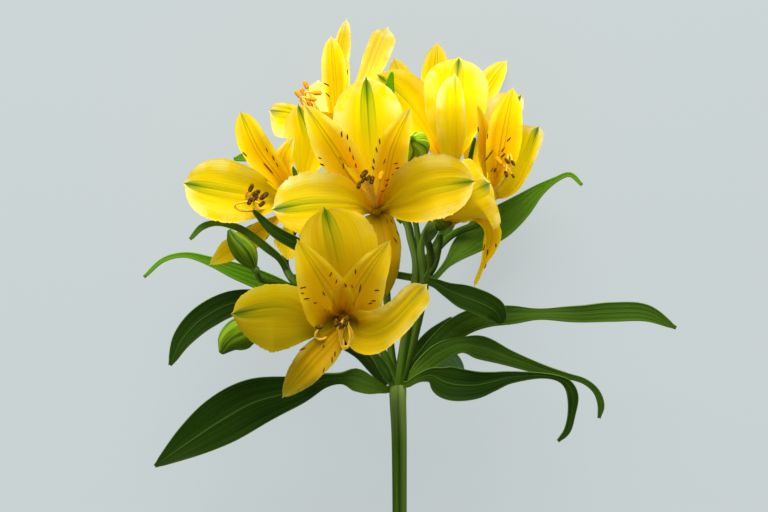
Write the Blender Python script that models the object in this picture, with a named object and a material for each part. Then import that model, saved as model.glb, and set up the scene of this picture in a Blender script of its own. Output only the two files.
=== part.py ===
"""A cut alstroemeria stem lying on a surface: seven yellow blooms on rays, three buds and its leaves.

Places are pixels of the picture, 768 by 512, with a depth in millimetres towards the camera,
which looks straight down. Everything else is in millimetres until a mesh is made.
"""

import math

import bmesh
import bpy
import numpy as np

# Driving dimensions
MM_PER_PIXEL = 0.38
CAMERA_HEIGHT = 900.0
PICTURE_CENTRE = (384.0, 256.0)
ORIGIN = (8.76, -46.09, -60.88)
TEPAL_THICKNESS = 0.9
LEAF_THICKNESS = 0.8
FILAMENT_DIAMETER = 1.2
ANTHER_LENGTH = 3.8
ANTHER_DIAMETER = 1.8
OVARY_DIAMETER = 5.0
RECEPTACLE_DIAMETER = 4.6
TOUCH_GAP = 0.3
PETIOLE_SHARE = 0.75

# How fine the solids are
TEPAL_STEPS = (7, 3)
LEAF_STEPS = (11, 2)
STEM_SIDES = 10
STEM_RINGS = 12
RAY_SIDES = 6
FILAMENT_SIDES = 3
FILAMENT_STEPS = 2
ANTHER_SIDES = 4
BUD_RINGS = 8
BUD_SIDES = 8

# Share of the greatest half width, evenly spaced from the base to the tip
OUTER_TEPAL = (
    0.16, 0.165, 0.17, 0.22, 0.3, 0.44, 0.58, 0.72, 0.85,
    0.94, 0.99, 1.01, 1.0, 0.93, 0.8, 0.54, 0.05,
)
INNER_TEPAL = (
    0.17, 0.17, 0.18, 0.25, 0.34, 0.5, 0.66, 0.81, 0.93,
    0.99, 1.0, 0.96, 0.87, 0.73, 0.55, 0.33, 0.03,
)
OPEN_TEPAL = (
    0.2, 0.28, 0.44, 0.64, 0.82, 0.94, 1.0, 1.02, 1.0,
    0.95, 0.87, 0.77, 0.66, 0.54, 0.4, 0.24, 0.03,
)
TWISTED_TEPAL = (
    0.18, 0.24, 0.36, 0.52, 0.7, 0.85, 0.95, 1.0, 0.98,
    0.9, 0.8, 0.71, 0.65, 0.62, 0.6, 0.48, 0.05,
)
TAILED_TEPAL = (
    0.3, 0.5, 0.72, 0.88, 0.97, 1.0, 1.0, 0.98, 0.94,
    0.88, 0.78, 0.62, 0.42, 0.28, 0.24, 0.22, 0.12,
)
BROAD_TEPAL = (
    0.2, 0.27, 0.36, 0.46, 0.58, 0.68, 0.77, 0.84, 0.9,
    0.95, 0.99, 1.0, 0.98, 0.9, 0.75, 0.5, 0.04,
)
FAN_TEPAL = (
    0.3, 0.4, 0.52, 0.64, 0.75, 0.83, 0.9, 0.95, 0.98,
    1.0, 1.0, 1.0, 1.0, 0.99, 0.95, 0.84, 0.1,
)
BLUNT_TEPAL = (
    0.16, 0.17, 0.19, 0.24, 0.32, 0.42, 0.52, 0.62, 0.72,
    0.8, 0.87, 0.93, 0.97, 1.0, 0.98, 0.86, 0.1,
)

# Across a tepal, the angle that each half bends through, from the claw to the tip, in degrees
CLAW_CUP = (100, 70, 40, 22, 12)

# A bloom: its base, the axis that it opens along, its tepals and its anthers.
# A tepal: its outline, where its midrib goes, its width, its roll from the camera and its lean to the right.
BLOOMS = {
    "bloom_front": dict(
        base=(344, 317, 10),
        axis=(-0.05, -0.1, 1.0),
        tepals=(
            (OUTER_TEPAL, ((342, 292, 24), (335, 250, 33), (324, 207, 36)), 29.0, (0, 0), 0.12),
            (OUTER_TEPAL, ((324, 316, 25), (278, 307, 38), (231, 314, 40)), 27.0, (15, 25), -0.25),
            (TWISTED_TEPAL, ((360, 330, 26), (390, 323, 42), (427, 284, 47)), 18.5, (0, 0), 0.0),
            (OPEN_TEPAL, ((338, 302, 30), (318, 271, 42), (297, 239, 47)), 20.0, (0, 0), -0.32),
            (OPEN_TEPAL, ((350, 302, 30), (368, 271, 42), (390, 240, 47)), 19.4, (0, 0), 0.25),
            (INNER_TEPAL, ((336, 336, 30), (311, 363, 37), (282, 398, 30)), 12.6, (0, 0), 0.0),
        ),
        anthers=(
            (319, 327, 40), (336, 323, 44), (341, 325, 45),
            (346, 321, 46), (347, 318, 40), (339, 328, 38),
        ),
    ),
    "bloom_middle": dict(
        base=(377, 212, -10),
        axis=(-0.02, 0.1, 1.0),
        tepals=(
            (OUTER_TEPAL, ((374, 185, 8), (369, 130, 18), (366, 76, 20)), 26.6, (0, 0), 0.0),
            (OUTER_TEPAL, ((356, 205, 8), (315, 203, 22), (271, 210, 24)), 24.0, (0, 0), 0.0),
            (OUTER_TEPAL, ((394, 204, 8), (430, 188, 24), (476, 181, 27)), 24.5, (0, 0), 0.0),
            (INNER_TEPAL, ((357, 184, 10), (329, 141, 24), (304, 104, 28)), 15.4, (0, 0), 0.0),
            (INNER_TEPAL, ((385, 188, 10), (393, 148, 24), (411, 107, 28)), 13.4, (0, 0), 0.0),
            (OPEN_TEPAL, ((380, 226, 6), (386, 258, 11), (387, 296, 4)), 14.0, (0, 0), 0.0),
        ),
        anthers=(
            (364, 174, 28), (359, 185, 30), (368, 178, 27),
            (381, 176, 26), (372, 180, 26), (363, 180, 28),
        ),
    ),
    "bloom_left": dict(
        base=(293, 206, -24),
        axis=(-0.75, 0.1, 0.65),
        tepals=(
            (OUTER_TEPAL, ((268, 198, -8), (226, 191, 0), (183, 183, 0)), 24.0, (0, 0), 0.0),
            (OUTER_TEPAL, ((303, 178, -22), (309, 142, -17), (298, 104, -13)), 17.5, (0, 0), 0.0),
            (OUTER_TEPAL, ((287, 225, -24), (283, 243, -21), (287, 260, -17)), 12.0, (50, 60), 0.0),
            (BROAD_TEPAL, ((282, 183, -8), (257, 149, -1), (240, 111, 2)), 12.0, (0, 0), 0.0),
            (INNER_TEPAL, ((288, 185, -11), (284, 160, -6), (294, 136, -2)), 9.0, (30, 30), 0.0),
            (INNER_TEPAL, ((276, 218, -14), (246, 238, -12), (209, 265, -12)), 12.0, (30, 35), 0.0),
        ),
        anthers=((251, 188, 8), (256, 193, 9), (255, 198, 9), (250, 201, 9), (262, 204, 6), (264, 196, 4)),
    ),
    "bloom_top_left": dict(
        base=(345, 155, -38),
        axis=(-0.5, 0.75, 0.1),
        tepals=(
            (BLUNT_TEPAL, ((320, 130, -36), (292, 114, -31), (269, 110, -28)), 14.0, (0, 0), -0.5),
            (BLUNT_TEPAL, ((354, 115, -42), (371, 70, -44), (388, 27, -40)), 10.2, (0, 0), 0.0),
            (OUTER_TEPAL, ((334, 125, -50), (322, 102, -59), (318, 80, -60)), 16.0, (0, 0), 0.0),
            (BROAD_TEPAL, ((337, 120, -32), (335, 80, -32), (331, 36, -32)), 10.0, (0, 0), 0.0),
            (BROAD_TEPAL, ((343, 110, -46), (340, 62, -48), (347, 18, -46)), 7.6, (0, 0), 0.0),
            (INNER_TEPAL, ((331, 130, -30), (322, 119, -26), (316, 112, -24)), 12.0, (0, 0), 0.0),
        ),
        anthers=(
            (306, 85, -36), (298, 94, -34), (303, 92, -38),
            (317, 93, -28), (312, 99, -26), (310, 104, -30),
        ),
    ),
    "bloom_top": dict(
        base=(449, 181, -27),
        axis=(0.0, 1.0, -0.1),
        tepals=(
            (OUTER_TEPAL, ((432, 140, -32), (409, 104, -30), (377, 74, -26)), 20.0, (0, 0), 0.0),
            (OUTER_TEPAL, ((452, 140, -18), (455, 100, -14), (459, 57, -18)), 25.4, (0, 0), 0.0),
            (BROAD_TEPAL, ((456, 150, -8), (456, 110, 0), (455, 73, -3)), 11.6, (0, 0), -0.4),
            (BROAD_TEPAL, ((429, 130, -42), (406, 90, -48), (393, 57, -46)), 11.6, (0, 0), 0.0),
            (BROAD_TEPAL, ((441, 130, -34), (436, 82, -37), (437, 42, -35)), 12.0, (0, 0), 0.0),
            (BROAD_TEPAL, ((464, 140, -42), (485, 95, -55), (507, 60, -60)), 11.4, (0, 0), -0.2),
        ),
        anthers=(
            (440, 118, -26), (452, 120, -24), (446, 112, -30),
            (436, 125, -28), (456, 126, -27), (448, 122, -33),
        ),
    ),
    "bloom_right": dict(
        base=(489, 202, -28),
        axis=(0.3, 0.8, 0.5),
        tepals=(
            (OUTER_TEPAL, ((497, 164, -24), (506, 125, -20), (522, 94, -17)), 15.5, (0, 0), -0.45),
            (FAN_TEPAL, ((513, 187, -23), (527, 159, -20), (539, 126, -16)), 13.0, (0, 0), -0.5),
            (OUTER_TEPAL, ((487, 182, -38), (484, 160, -50), (484, 138, -57)), 17.0, (0, 0), 0.0),
            (INNER_TEPAL, ((498, 168, -13), (505, 130, -9), (513, 87, -10)), 14.4, (0, 0), 0.0),
            (INNER_TEPAL, ((485, 165, -22), (484, 130, -12), (477, 104, -7)), 5.6, (0, 0), 0.0),
            (INNER_TEPAL, ((503, 180, -34), (515, 165, -41), (523, 148, -46)), 9.0, (0, 0), 0.0),
        ),
        anthers=(
            (499, 161, 0), (507, 161, 2), (513, 163, 3),
            (506, 174, 4), (495, 170, -12), (513, 176, -4),
        ),
    ),
    "bloom_lower_right": dict(
        base=(437, 226, 4),
        axis=(0.8, 0.3, 0.35),
        tepals=(
            (BLUNT_TEPAL, ((452, 211, 14), (469, 194, 19), (490, 183, 17)), 29.0, (180, 180), -0.14),
            (OUTER_TEPAL, ((458, 208, 5), (475, 192, 4), (490, 180, 3)), 16.0, (0, 0), 0.0),
            (OUTER_TEPAL, ((457, 214, 0), (472, 204, -2), (486, 196, -2)), 15.0, (0, 0), 0.0),
            (TAILED_TEPAL, ((473, 212, 8), (492, 236, 8), (474, 287, 5)), 7.2, (0, 0), 0.0),
            (INNER_TEPAL, ((456, 205, 9), (470, 190, 10), (483, 175, 10)), 11.0, (0, 0), 0.0),
            (INNER_TEPAL, ((458, 212, 10), (474, 204, 12), (488, 206, 11)), 11.0, (0, 0), 0.0),
        ),
        anthers=((478, 208, 10), (482, 202, 9), (474, 204, 8)),
    ),
}

# A leaf: the points of its midrib, each with a depth, the width there and the roll from the camera.
LEAVES = {
    "leaf_lower_left": (
        (389, 389.5, -3, 2.2, 0), (380, 388, -4, 3.8, 0), (369, 385, -5, 6.8, 0), (355, 379.5, -6, 8.4, 0),
        (341, 378.5, -6, 5.0, 30), (322, 381, -7, 6.5, 20), (295, 391, -9, 11.5, 0), (255, 402, -11, 18.5, 0),
        (222, 420, -12, 19.0, 0), (190, 441, -12, 13.0, 0), (155, 466, -11, 1.2, 0),
    ),
    "leaf_middle_left": (
        (384, 382, -10, 2.6, 0), (373, 367, -18, 4.4, 0), (359, 350, -22, 6.0, 0), (335, 334, -24, 8.0, 0),
        (285, 308, -24, 9.0, 0), (240, 302, -22, 9.5, 0), (206, 316, -20, 10.0, 0), (183, 338, -18, 7.5, 0),
        (170, 365, -16, 1.6, 0),
    ),
    "leaf_upper_left": (
        (389, 377, -18, 3.0, 0), (366, 356, -28, 5.0, 0), (330, 325, -34, 7.0, 0), (290, 295, -36, 7.5, 0),
        (262, 281, -36, 7.5, 0), (236, 271, -35, 6.2, 0), (212, 262, -34, 3.6, 0), (186, 255, -34, 1.8, 0),
        (163, 260, -34, 1.4, 0), (144, 277, -34, 1.0, 0),
    ),
    "leaf_short": ((390, 379, 3, 2.8, 0), (383, 367, 2, 3.8, 0), (374, 354, -1, 1.4, 0)),
    "bract_left": (
        (280, 259, -13, 2.2, 0), (268, 249, -8, 2.7, 0), (252, 236, -5, 2.6, 0), (236, 227, -4, 2.2, 0),
        (218, 223, -3, 1.8, 0), (202, 227, -3, 2.0, 0), (190, 239, -4, 1.0, 0),
    ),
    "bract_dark": (
        (382, 272, -6, 2.4, 0), (355, 266, -2, 3.6, 0), (322, 256, 0, 4.2, 0), (295, 243, 1, 4.6, 0),
        (273, 230, 2, 3.8, 0), (253, 210, 2, 1.0, 0),
    ),
    "bract_behind_left": (
        (303, 276, -20, 2.4, 0), (306, 240, -38, 4.5, 0), (301, 195, -44, 5.5, 0), (280, 165, -42, 6.5, 0),
        (256, 156, -40, 5.0, 0), (234, 159, -39, 1.2, 0),
    ),
    "bract_top": (
        (400, 219, -28, 2.4, 0), (397, 185, -31, 5.0, 0), (396, 140, -26, 6.0, 0), (389, 98, -17, 4.4, 0),
        (392, 72, -14, 1.0, 0),
    ),
    "leaf_long_right": (
        (408, 377, -8, 3.4, 0), (420, 364, -10, 6.0, 0), (440, 343, -11, 8.0, 0), (462, 325, -11, 8.5, 0),
        (485, 317, -9, 8.0, 0), (510, 315, -8, 7.0, 0), (540, 314, -8, 4.6, 30), (579, 314, -8, 6.2, 0),
        (612, 312, -9, 7.2, 0), (646, 313, -10, 6.2, 0), (676, 328, -11, 1.0, 0),
    ),
    "leaf_curved_right": (
        (412, 376, -1, 3.4, 0), (422, 367, -2, 6.0, 0), (440, 353, -2, 7.5, 0), (461, 345, -1, 6.0, 20),
        (482, 348, -1, 8.8, 0), (509, 358, -1, 5.8, 0), (542, 369.5, -2, 3.6, 0), (567, 376, -2, 2.0, 0),
        (584, 381, -2, 1.8, 0), (596, 391, -3, 2.0, 0), (601, 405, -3, 2.2, 0), (599, 418, -3, 1.0, 0),
    ),
    "leaf_lower_right": (
        (407, 384.5, 3, 2.0, 0), (414, 380.5, 4, 2.4, 0), (422, 377, 4, 3.4, 0), (432, 375.5, 4, 6.0, 0),
        (443, 381, 4, 11.6, 0), (456, 384.5, 4, 12.4, 0), (475, 385, 4, 10.5, 0), (493, 381.5, 4, 7.2, 0),
        (510, 377.5, 4, 4.4, 0), (538, 375.5, 4, 2.0, 0), (557, 378, 4, 1.8, 0), (568, 384.5, 3, 3.2, 0),
        (573, 397, 3, 3.9, 0), (571.5, 415, 2, 2.6, 0), (567, 431, 2, 2.2, 0), (558, 441, 2, 1.0, 0),
    ),
    "leaf_curled_right": (
        (427, 280, 1, 2.4, 0), (437, 284, 4, 3.4, 0), (448, 290, 6, 5.4, 0), (462, 296, 7, 8.6, 0),
        (476, 301, 8, 9.2, 0), (487, 306, 8, 9.2, 0), (496, 312, 7, 8.0, 0), (502, 323, 5, 3.2, 0),
    ),
    "leaf_upper_right": (
        (434, 278, -10, 1.8, 0), (448, 263, -22, 2.8, 0), (463, 247, -33, 9.0, 0), (480, 234, -40, 12.5, 0),
        (500, 222, -40, 12.8, 0), (520, 207, -40, 9.6, 0), (538, 191, -40, 4.8, 0), (555, 180, -39, 1.9, 0),
        (570, 174.5, -38, 1.5, 0), (582, 185, -38, 1.0, 0),
    ),
    "leaf_narrow_right": (
        (426, 262, -22, 2.4, 0), (441, 240, -37, 4.2, 0), (456, 208, -42, 3.8, 0), (466, 175, -36, 2.0, 0),
        (475, 138, -32, 0.9, 0),
    ),
    "leaf_short_right": (
        (406, 372, -14, 3.0, 0), (418, 354, -20, 6.0, 0), (434, 336, -21, 6.0, 0), (452, 318, -22, 1.2, 0),
    ),
    "leaf_grey_right": (
        (408, 379, -15, 3.0, 0), (422, 368, -22, 6.0, 0), (438, 360, -25, 9.0, 0), (449, 363, -25, 9.0, 0),
        (455, 374, -25, 7.5, 0), (456, 387, -24, 3.0, 0),
    ),
}

# A bud: the points of its middle from its base to its tip, each with a depth, and its diameter
BUDS = {
    "bud_left": (((254, 267, 2), (245, 252, 3), (235, 240, 3), (229, 230, 2)), 9.0),
    "bud_lower": (((262, 329, 14), (245, 332, 15), (230, 340, 15), (221, 353, 14)), 12.0),
    "bud_top": (((406, 162, -12), (414, 150, -5), (417, 142, 1), (411, 139, 8)), 10.4),
}

# The stem and its rays: points with a depth and a diameter. Rays to a bloom or a bud end in its ovary.
MAIN_STEM = (
    (398.5, 382, -2, 4.4), (398, 389, -0.5, 6.4), (398, 402, 0, 6.3), (399.2, 440, -4, 5.8),
    (399.6, 512, -14, 5.5), (400, 620, -36, 5.3), (400, 716, -58.58, 5.2),
)
RAYS = {
    "bloom_front": ((397, 388, 0, 4.0), (385, 356, -1, 3.0), (365, 328, -2, 3.0), (350, 310, 2, 3.0)),
    "bloom_middle": ((398, 388, 0, 4.4), (405, 340, -1, 3.6), (414, 290, -5, 3.4), (416, 262, -12, 3.2),
                     (411, 239, -20, 3.2), (407, 223, -25, 3.2), (397, 212, -25, 3.2), (383, 213, -20, 3.2)),
    "bloom_left": ((396, 387, -2, 4.0), (370, 350, -12, 3.2), (330, 312, -16, 3.0), (298, 286, -14, 3.0),
                   (285, 264, -22, 3.0), (291, 238, -37, 2.8), (301, 214, -36, 2.8)),
    "bloom_top_left": ((396, 386, -2, 4.0), (391, 350, -9, 3.0), (387, 300, -16, 3.0), (384, 255, -24, 3.0),
                       (372, 205, -34, 3.0), (354, 170, -38, 3.0)),
    "bloom_top": ((399, 387, 0, 4.2), (413, 340, -3, 3.6), (424, 283, -6, 3.8), (421, 245, -14, 3.0),
                  (436, 215, -26, 3.0), (448, 195, -28, 3.0)),
    "bloom_right": ((424, 285, -6, 3.4), (431, 258, -14, 2.8), (452, 235, -29, 2.8), (478, 224, -34, 2.8)),
    "bloom_lower_right": ((427, 284, -6, 3.2), (431, 265, -5, 2.8), (430, 250, -4, 2.8), (427, 240, -2, 2.8)),
    "bud_left": ((305, 290, -14, 2.6), (278, 283, -7, 2.2), (261, 280, -2, 2.2), (256, 271, 1, 2.2)),
    "bud_lower": ((350, 330, -13, 2.6), (312, 326, -2, 2.2), (286, 327, 8, 2.2), (269, 328, 12, 2.2)),
    "bud_top": ((420, 250, -13, 2.4), (414, 215, -20, 2.2), (407, 188, -18, 2.2), (403, 172, -15, 2.2)),
    "stub": ((425, 280, -6, 2.4), (435, 266, -3, 2.0), (440, 245, -2, 1.8), (440, 234, -1, 2.4)),
}


def place(pixel_x, pixel_y, depth):
    """The point in the part's frame, in millimetres, that the camera sees at that pixel."""
    scale = MM_PER_PIXEL * (CAMERA_HEIGHT - depth) / CAMERA_HEIGHT
    x = (pixel_x - PICTURE_CENTRE[0]) * scale
    y = (PICTURE_CENTRE[1] - pixel_y) * scale
    return np.array([x, y, depth]) - ORIGIN


def along(values, u):
    """Value at each u from 0 to 1 on a smooth curve through evenly spaced values."""
    values = np.asarray(values, float)
    ends = (2 * values[0] - values[1], 2 * values[-1] - values[-2])
    knots = np.concatenate([[ends[0]], values, [ends[1]]])
    position = np.clip(u, 0, 1) * (len(values) - 1)
    index = np.minimum(position.astype(int), len(values) - 2)
    t = position - index
    t = t.reshape((-1,) + (1,) * (values.ndim - 1))
    a, b, c, d = (knots[index + k] for k in range(4))
    return b + 0.5 * t * (c - a + t * (2 * a - 5 * b + 4 * c - d + t * (3 * (b - c) + d - a)))


def evenly(points, count):
    """A smooth curve through the points at even steps of its length."""
    fine = np.linspace(0, 1, 24 * len(points) + 1)
    curve = along(points, fine)
    lengths = np.concatenate([[0], np.cumsum(np.linalg.norm(np.diff(curve[:, :3], axis=0), axis=1))])
    where = np.interp(np.linspace(0, lengths[-1], count), lengths, fine)
    return along(points, where)


def unit(vectors):
    return vectors / np.linalg.norm(vectors, axis=-1, keepdims=True)


def frames(curve, rolls):
    """The side and the facing of a blade at each point of its midrib."""
    forward = unit(np.gradient(curve, axis=0))
    camera = np.array([0.0, 0.0, 1.0])
    side = unit(np.cross(forward, camera))
    facing = np.cross(side, forward)
    angle = np.radians(rolls)[:, None]
    return side * np.cos(angle) + facing * np.sin(angle), facing * np.cos(angle) - side * np.sin(angle)


def blade_grid(curve, half_widths, rolls, cups, lean, across):
    """Points of a blade's front face, row by row from its base to its tip."""
    side, facing = frames(curve, rolls)
    v = np.linspace(-1, 1, across + 1)
    bend = np.radians(cups)[:, None] + 1e-6
    spread = np.where(v > 0, 1 + lean, 1 - lean) * half_widths[:, None]
    sideways = spread * np.sin(bend * v) / bend
    raised = spread * (1 - np.cos(bend * v)) / bend
    return curve[:, None] + side[:, None] * sideways[..., None] + facing[:, None] * raised[..., None]


def blade_solid(front, thickness):
    """A closed solid from the grid of a front face, split alike on both faces."""
    rows, columns = front.shape[:2]
    normal = np.cross(np.gradient(front, axis=1), np.gradient(front, axis=0))
    back = front - unit(normal) * thickness
    points = np.concatenate([front.reshape(-1, 3), back.reshape(-1, 3)])
    under = rows * columns
    faces = []
    for row in range(rows - 1):
        for column in range(columns - 1):
            a = row * columns + column
            b, c, d = a + 1, a + columns + 1, a + columns
            faces += [(a, b, c), (a, c, d)]
            faces += [(c + under, b + under, a + under), (d + under, c + under, a + under)]
    rim = list(range(columns))
    rim += [row * columns + columns - 1 for row in range(1, rows)]
    rim += [(rows - 1) * columns + column for column in range(columns - 2, -1, -1)]
    rim += [row * columns for row in range(rows - 2, 0, -1)]
    for a, b in zip(rim, rim[1:] + rim[:1]):
        faces += [(b, a, a + under), (b, a + under, b + under)]
    return points, faces


def outwards(axis, towards):
    """The direction square to the axis that leans the most towards a point."""
    return unit(towards - axis * np.dot(axis, towards))


def tepal_solid(base, axis, tepal):
    outline, midrib, width, rolls, lean = tepal
    points = [place(*point) for point in midrib]
    points.insert(0, base + axis * 1.4 + outwards(axis, points[-1] - base) * 1.2)
    rows, across = TEPAL_STEPS
    curve = evenly(np.array(points), rows + 1)
    u = np.linspace(0, 1, rows + 1)
    half_widths = along(outline, u) * width / 2
    front = blade_grid(curve, half_widths, along(rolls, u), along(CLAW_CUP, u), lean, across)
    return blade_solid(front, TEPAL_THICKNESS)


def leaf_solid(rows):
    steps, across = LEAF_STEPS
    curve = sampled(rows, max(steps, len(rows)) + 1)
    cups = np.full(len(curve), 14.0)
    front = blade_grid(curve[:, :3], curve[:, 3] / 2, curve[:, 4], cups, 0.0, across)
    return blade_solid(front, LEAF_THICKNESS)


def tube_solid(points, diameters, sides):
    """A closed tube along the points, with a flat end square to it at each end."""
    points = np.asarray(points, float)
    forward = unit(np.gradient(points, axis=0))
    side = unit(np.cross(forward[0], [0.31, 0.22, 0.92]))
    turn = 2 * math.pi * np.arange(sides) / sides
    rings = []
    for point, direction, diameter in zip(points, forward, diameters):
        side = unit(side - direction * np.dot(side, direction))
        other = np.cross(direction, side)
        circle = np.cos(turn)[:, None] * side + np.sin(turn)[:, None] * other
        rings.append(point + circle * diameter / 2)
    last = (len(rings) - 1) * sides
    faces = [tuple(range(sides - 1, -1, -1)), tuple(range(last, last + sides))]
    for ring in range(len(rings) - 1):
        for k in range(sides):
            a, b = ring * sides + k, ring * sides + (k + 1) % sides
            faces.append((a, b, b + sides, a + sides))
    return np.concatenate(rings), faces


def object_of(name, solid):
    points, faces = solid
    mesh = bpy.data.meshes.new(name)
    mesh.from_pydata((np.asarray(points) / 1000).tolist(), [], faces)
    shape = bmesh.new()
    shape.from_mesh(mesh)
    bmesh.ops.recalc_face_normals(shape, faces=shape.faces)
    shape.to_mesh(mesh)
    shape.free()
    made = bpy.data.objects.new(name, mesh)
    bpy.context.scene.collection.objects.link(made)
    return made


def fused(name, solids):
    """One object, the union of the closed solids."""
    whole = object_of(name, solids[0])
    others = bpy.data.collections.new(name + "_pieces")
    for index, solid in enumerate(solids[1:]):
        piece = object_of(f"{name}_piece_{index}", solid)
        bpy.context.scene.collection.objects.unlink(piece)
        others.objects.link(piece)
    union = whole.modifiers.new("union", "BOOLEAN")
    union.operation = "UNION"
    union.operand_type = "COLLECTION"
    union.collection = others
    union.solver = "MANIFOLD"
    bpy.context.view_layer.objects.active = whole
    bpy.ops.object.modifier_apply(modifier=union.name)
    for piece in list(others.objects):
        bpy.data.objects.remove(piece)
    bpy.data.collections.remove(others)
    return whole


def painted(made, colour, roughness):
    material = bpy.data.materials.new(made.name)
    material.use_nodes = True
    shader = material.node_tree.nodes["Principled BSDF"]
    shader.inputs["Base Color"].default_value = (*colour, 1)
    shader.inputs["Roughness"].default_value = roughness
    made.data.materials.clear()
    made.data.materials.append(material)


def stamen_solids(base, axis, anther):
    """A filament that rises along the axis and bends to its anther, and the anther on its end."""
    tip = place(*anther)
    start = base + axis * 3 + outwards(axis, tip - base) * 1.1
    middle = start + axis * 0.55 * np.linalg.norm(tip - start) + (tip - start) * 0.1
    curve = evenly(np.array([start, middle, tip]), FILAMENT_STEPS + 1)
    filament = tube_solid(curve, np.full(len(curve), FILAMENT_DIAMETER), FILAMENT_SIDES)
    direction = unit(curve[-1] - curve[-2])
    spots = [tip + direction * ANTHER_LENGTH * (share - 0.5) for share in (0, 0.25, 0.75, 1)]
    widths = [ANTHER_DIAMETER * share for share in (0.5, 1, 1, 0.5)]
    return [filament, tube_solid(spots, widths, ANTHER_SIDES)]


def bloom(name, parts):
    base = place(*parts["base"])
    axis = unit(np.array(parts["axis"]))
    spots = [base + axis * step for step in (0.0, 1.5, 4.5, 6.0)]
    solids = [tube_solid(spots, [share * RECEPTACLE_DIAMETER for share in (0.9, 1.1, 1.0, 0.5)], RAY_SIDES)]
    solids += [tepal_solid(base, axis, tepal) for tepal in parts["tepals"]]
    for anther in parts["anthers"]:
        solids += stamen_solids(base, axis, anther)
    painted(fused(name, solids), (0.9, 0.62, 0.02), 0.5)


def bud_solid(points, diameter):
    curve = evenly(np.array([place(*point) for point in points]), BUD_RINGS)
    shares = along((0.34, 0.8, 1.0, 0.9, 0.6, 0.16), np.linspace(0, 1, BUD_RINGS))
    return tube_solid(curve, shares * diameter, BUD_SIDES)


def ovary_solid(name, rows):
    """The swelling at a ray's end, with a flat top just under the bloom or the bud that it carries."""
    start = place(*rows[-1][:3])
    if name in BLOOMS:
        axis = unit(np.array(BLOOMS[name]["axis"]))
        end = place(*BLOOMS[name]["base"]) - axis * TOUCH_GAP
    else:
        points = evenly(np.array([place(*point) for point in BUDS[name][0]]), BUD_RINGS)
        axis = unit(points[1] - points[0])
        end = points[0] - axis * TOUCH_GAP
    spots = [start, (start + end - axis * 2) / 2, end - axis * 1.2, end]
    widths = [rows[-1][3], OVARY_DIAMETER * 0.9, OVARY_DIAMETER, OVARY_DIAMETER * 0.9]
    if name in BUDS:
        widths = [width * 0.6 for width in widths]
    return tube_solid(spots, widths, RAY_SIDES)


def sampled(rows, count):
    """Points along the rows of a stem or a leaf, each with its other values."""
    return evenly(np.array([np.append(place(*row[:3]), row[3:]) for row in rows]), count)


def petiole_solid(leaf_rows, stem_points):
    """The foot of a leaf, from the middle of the nearest stem to just short of the blade."""
    curve = sampled(leaf_rows, LEAF_STEPS[0] + 1)
    start = curve[0, :3]
    direction = unit(curve[1, :3] - start)
    end = start - direction * TOUCH_GAP
    nearest = stem_points[np.argmin(np.linalg.norm(stem_points - end, axis=1))]
    width = max(curve[0, 3] * PETIOLE_SHARE, LEAF_THICKNESS * 2)
    return tube_solid([nearest, end - direction, end], [width] * 3, RAY_SIDES)


def stem():
    curves = [sampled(MAIN_STEM, STEM_RINGS)]
    solids = [tube_solid(curves[0][:, :3], curves[0][:, 3], STEM_SIDES)]
    for name, rows in RAYS.items():
        curves.append(sampled(rows, len(rows) + 3))
        solids.append(tube_solid(curves[-1][:, :3], curves[-1][:, 3], RAY_SIDES))
        if name != "stub":
            solids.append(ovary_solid(name, rows))
    middles = np.concatenate([evenly(curve[:, :3], 40) for curve in curves])
    solids += [petiole_solid(rows, middles) for rows in LEAVES.values()]
    painted(fused("stem", solids), (0.1, 0.22, 0.02), 0.5)


def main():
    for old in list(bpy.data.objects):
        bpy.data.objects.remove(old)
    stem()
    for name, parts in BLOOMS.items():
        bloom(name, parts)
    for name, rows in LEAVES.items():
        painted(object_of(name, leaf_solid(rows)), (0.04, 0.12, 0.02), 0.45)
    for name, (points, diameter) in BUDS.items():
        painted(object_of(name, bud_solid(points, diameter)), (0.2, 0.35, 0.03), 0.5)


main()
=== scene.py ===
import math

import bpy
import numpy as np
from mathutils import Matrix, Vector


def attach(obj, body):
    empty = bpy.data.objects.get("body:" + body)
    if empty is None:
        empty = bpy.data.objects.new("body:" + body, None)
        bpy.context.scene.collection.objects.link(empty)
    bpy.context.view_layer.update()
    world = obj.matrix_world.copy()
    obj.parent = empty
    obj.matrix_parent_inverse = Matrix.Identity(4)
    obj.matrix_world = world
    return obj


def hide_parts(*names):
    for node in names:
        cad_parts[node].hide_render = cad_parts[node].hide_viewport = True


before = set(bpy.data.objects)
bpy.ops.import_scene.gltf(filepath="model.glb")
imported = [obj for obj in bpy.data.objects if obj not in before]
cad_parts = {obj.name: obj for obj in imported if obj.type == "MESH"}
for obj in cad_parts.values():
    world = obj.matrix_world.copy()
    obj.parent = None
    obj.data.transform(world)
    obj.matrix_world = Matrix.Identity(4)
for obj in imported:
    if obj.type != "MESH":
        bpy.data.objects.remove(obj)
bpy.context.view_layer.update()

# Driving dimensions, in millimetres, the same as the part's
MM_PER_PIXEL = 0.38
CAMERA_HEIGHT = 900.0
PICTURE_WIDTH = 768.0
PICTURE_CENTRE = (384.0, 256.0)
ORIGIN = (8.76, -46.09, -60.88)
LEAF_THICKNESS = 0.6
FILAMENT_DIAMETER = 1.1
ANTHER_LENGTH = 3.8
ANTHER_DIAMETER = 1.7
OVARY_DIAMETER = 5.0
RECEPTACLE_DIAMETER = 4.6
TOUCH_GAP = 0.3

# How fine the meshes are: rows along a blade and columns across it
TEPAL_GRID = (96, 28)
LEAF_GRID = (72, 16)
TUBE_SIDES = 20
FLECK_LENGTH = 2.6
FLECK_WIDTH = 0.6
FLECK_LIFT = 0.12

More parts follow.
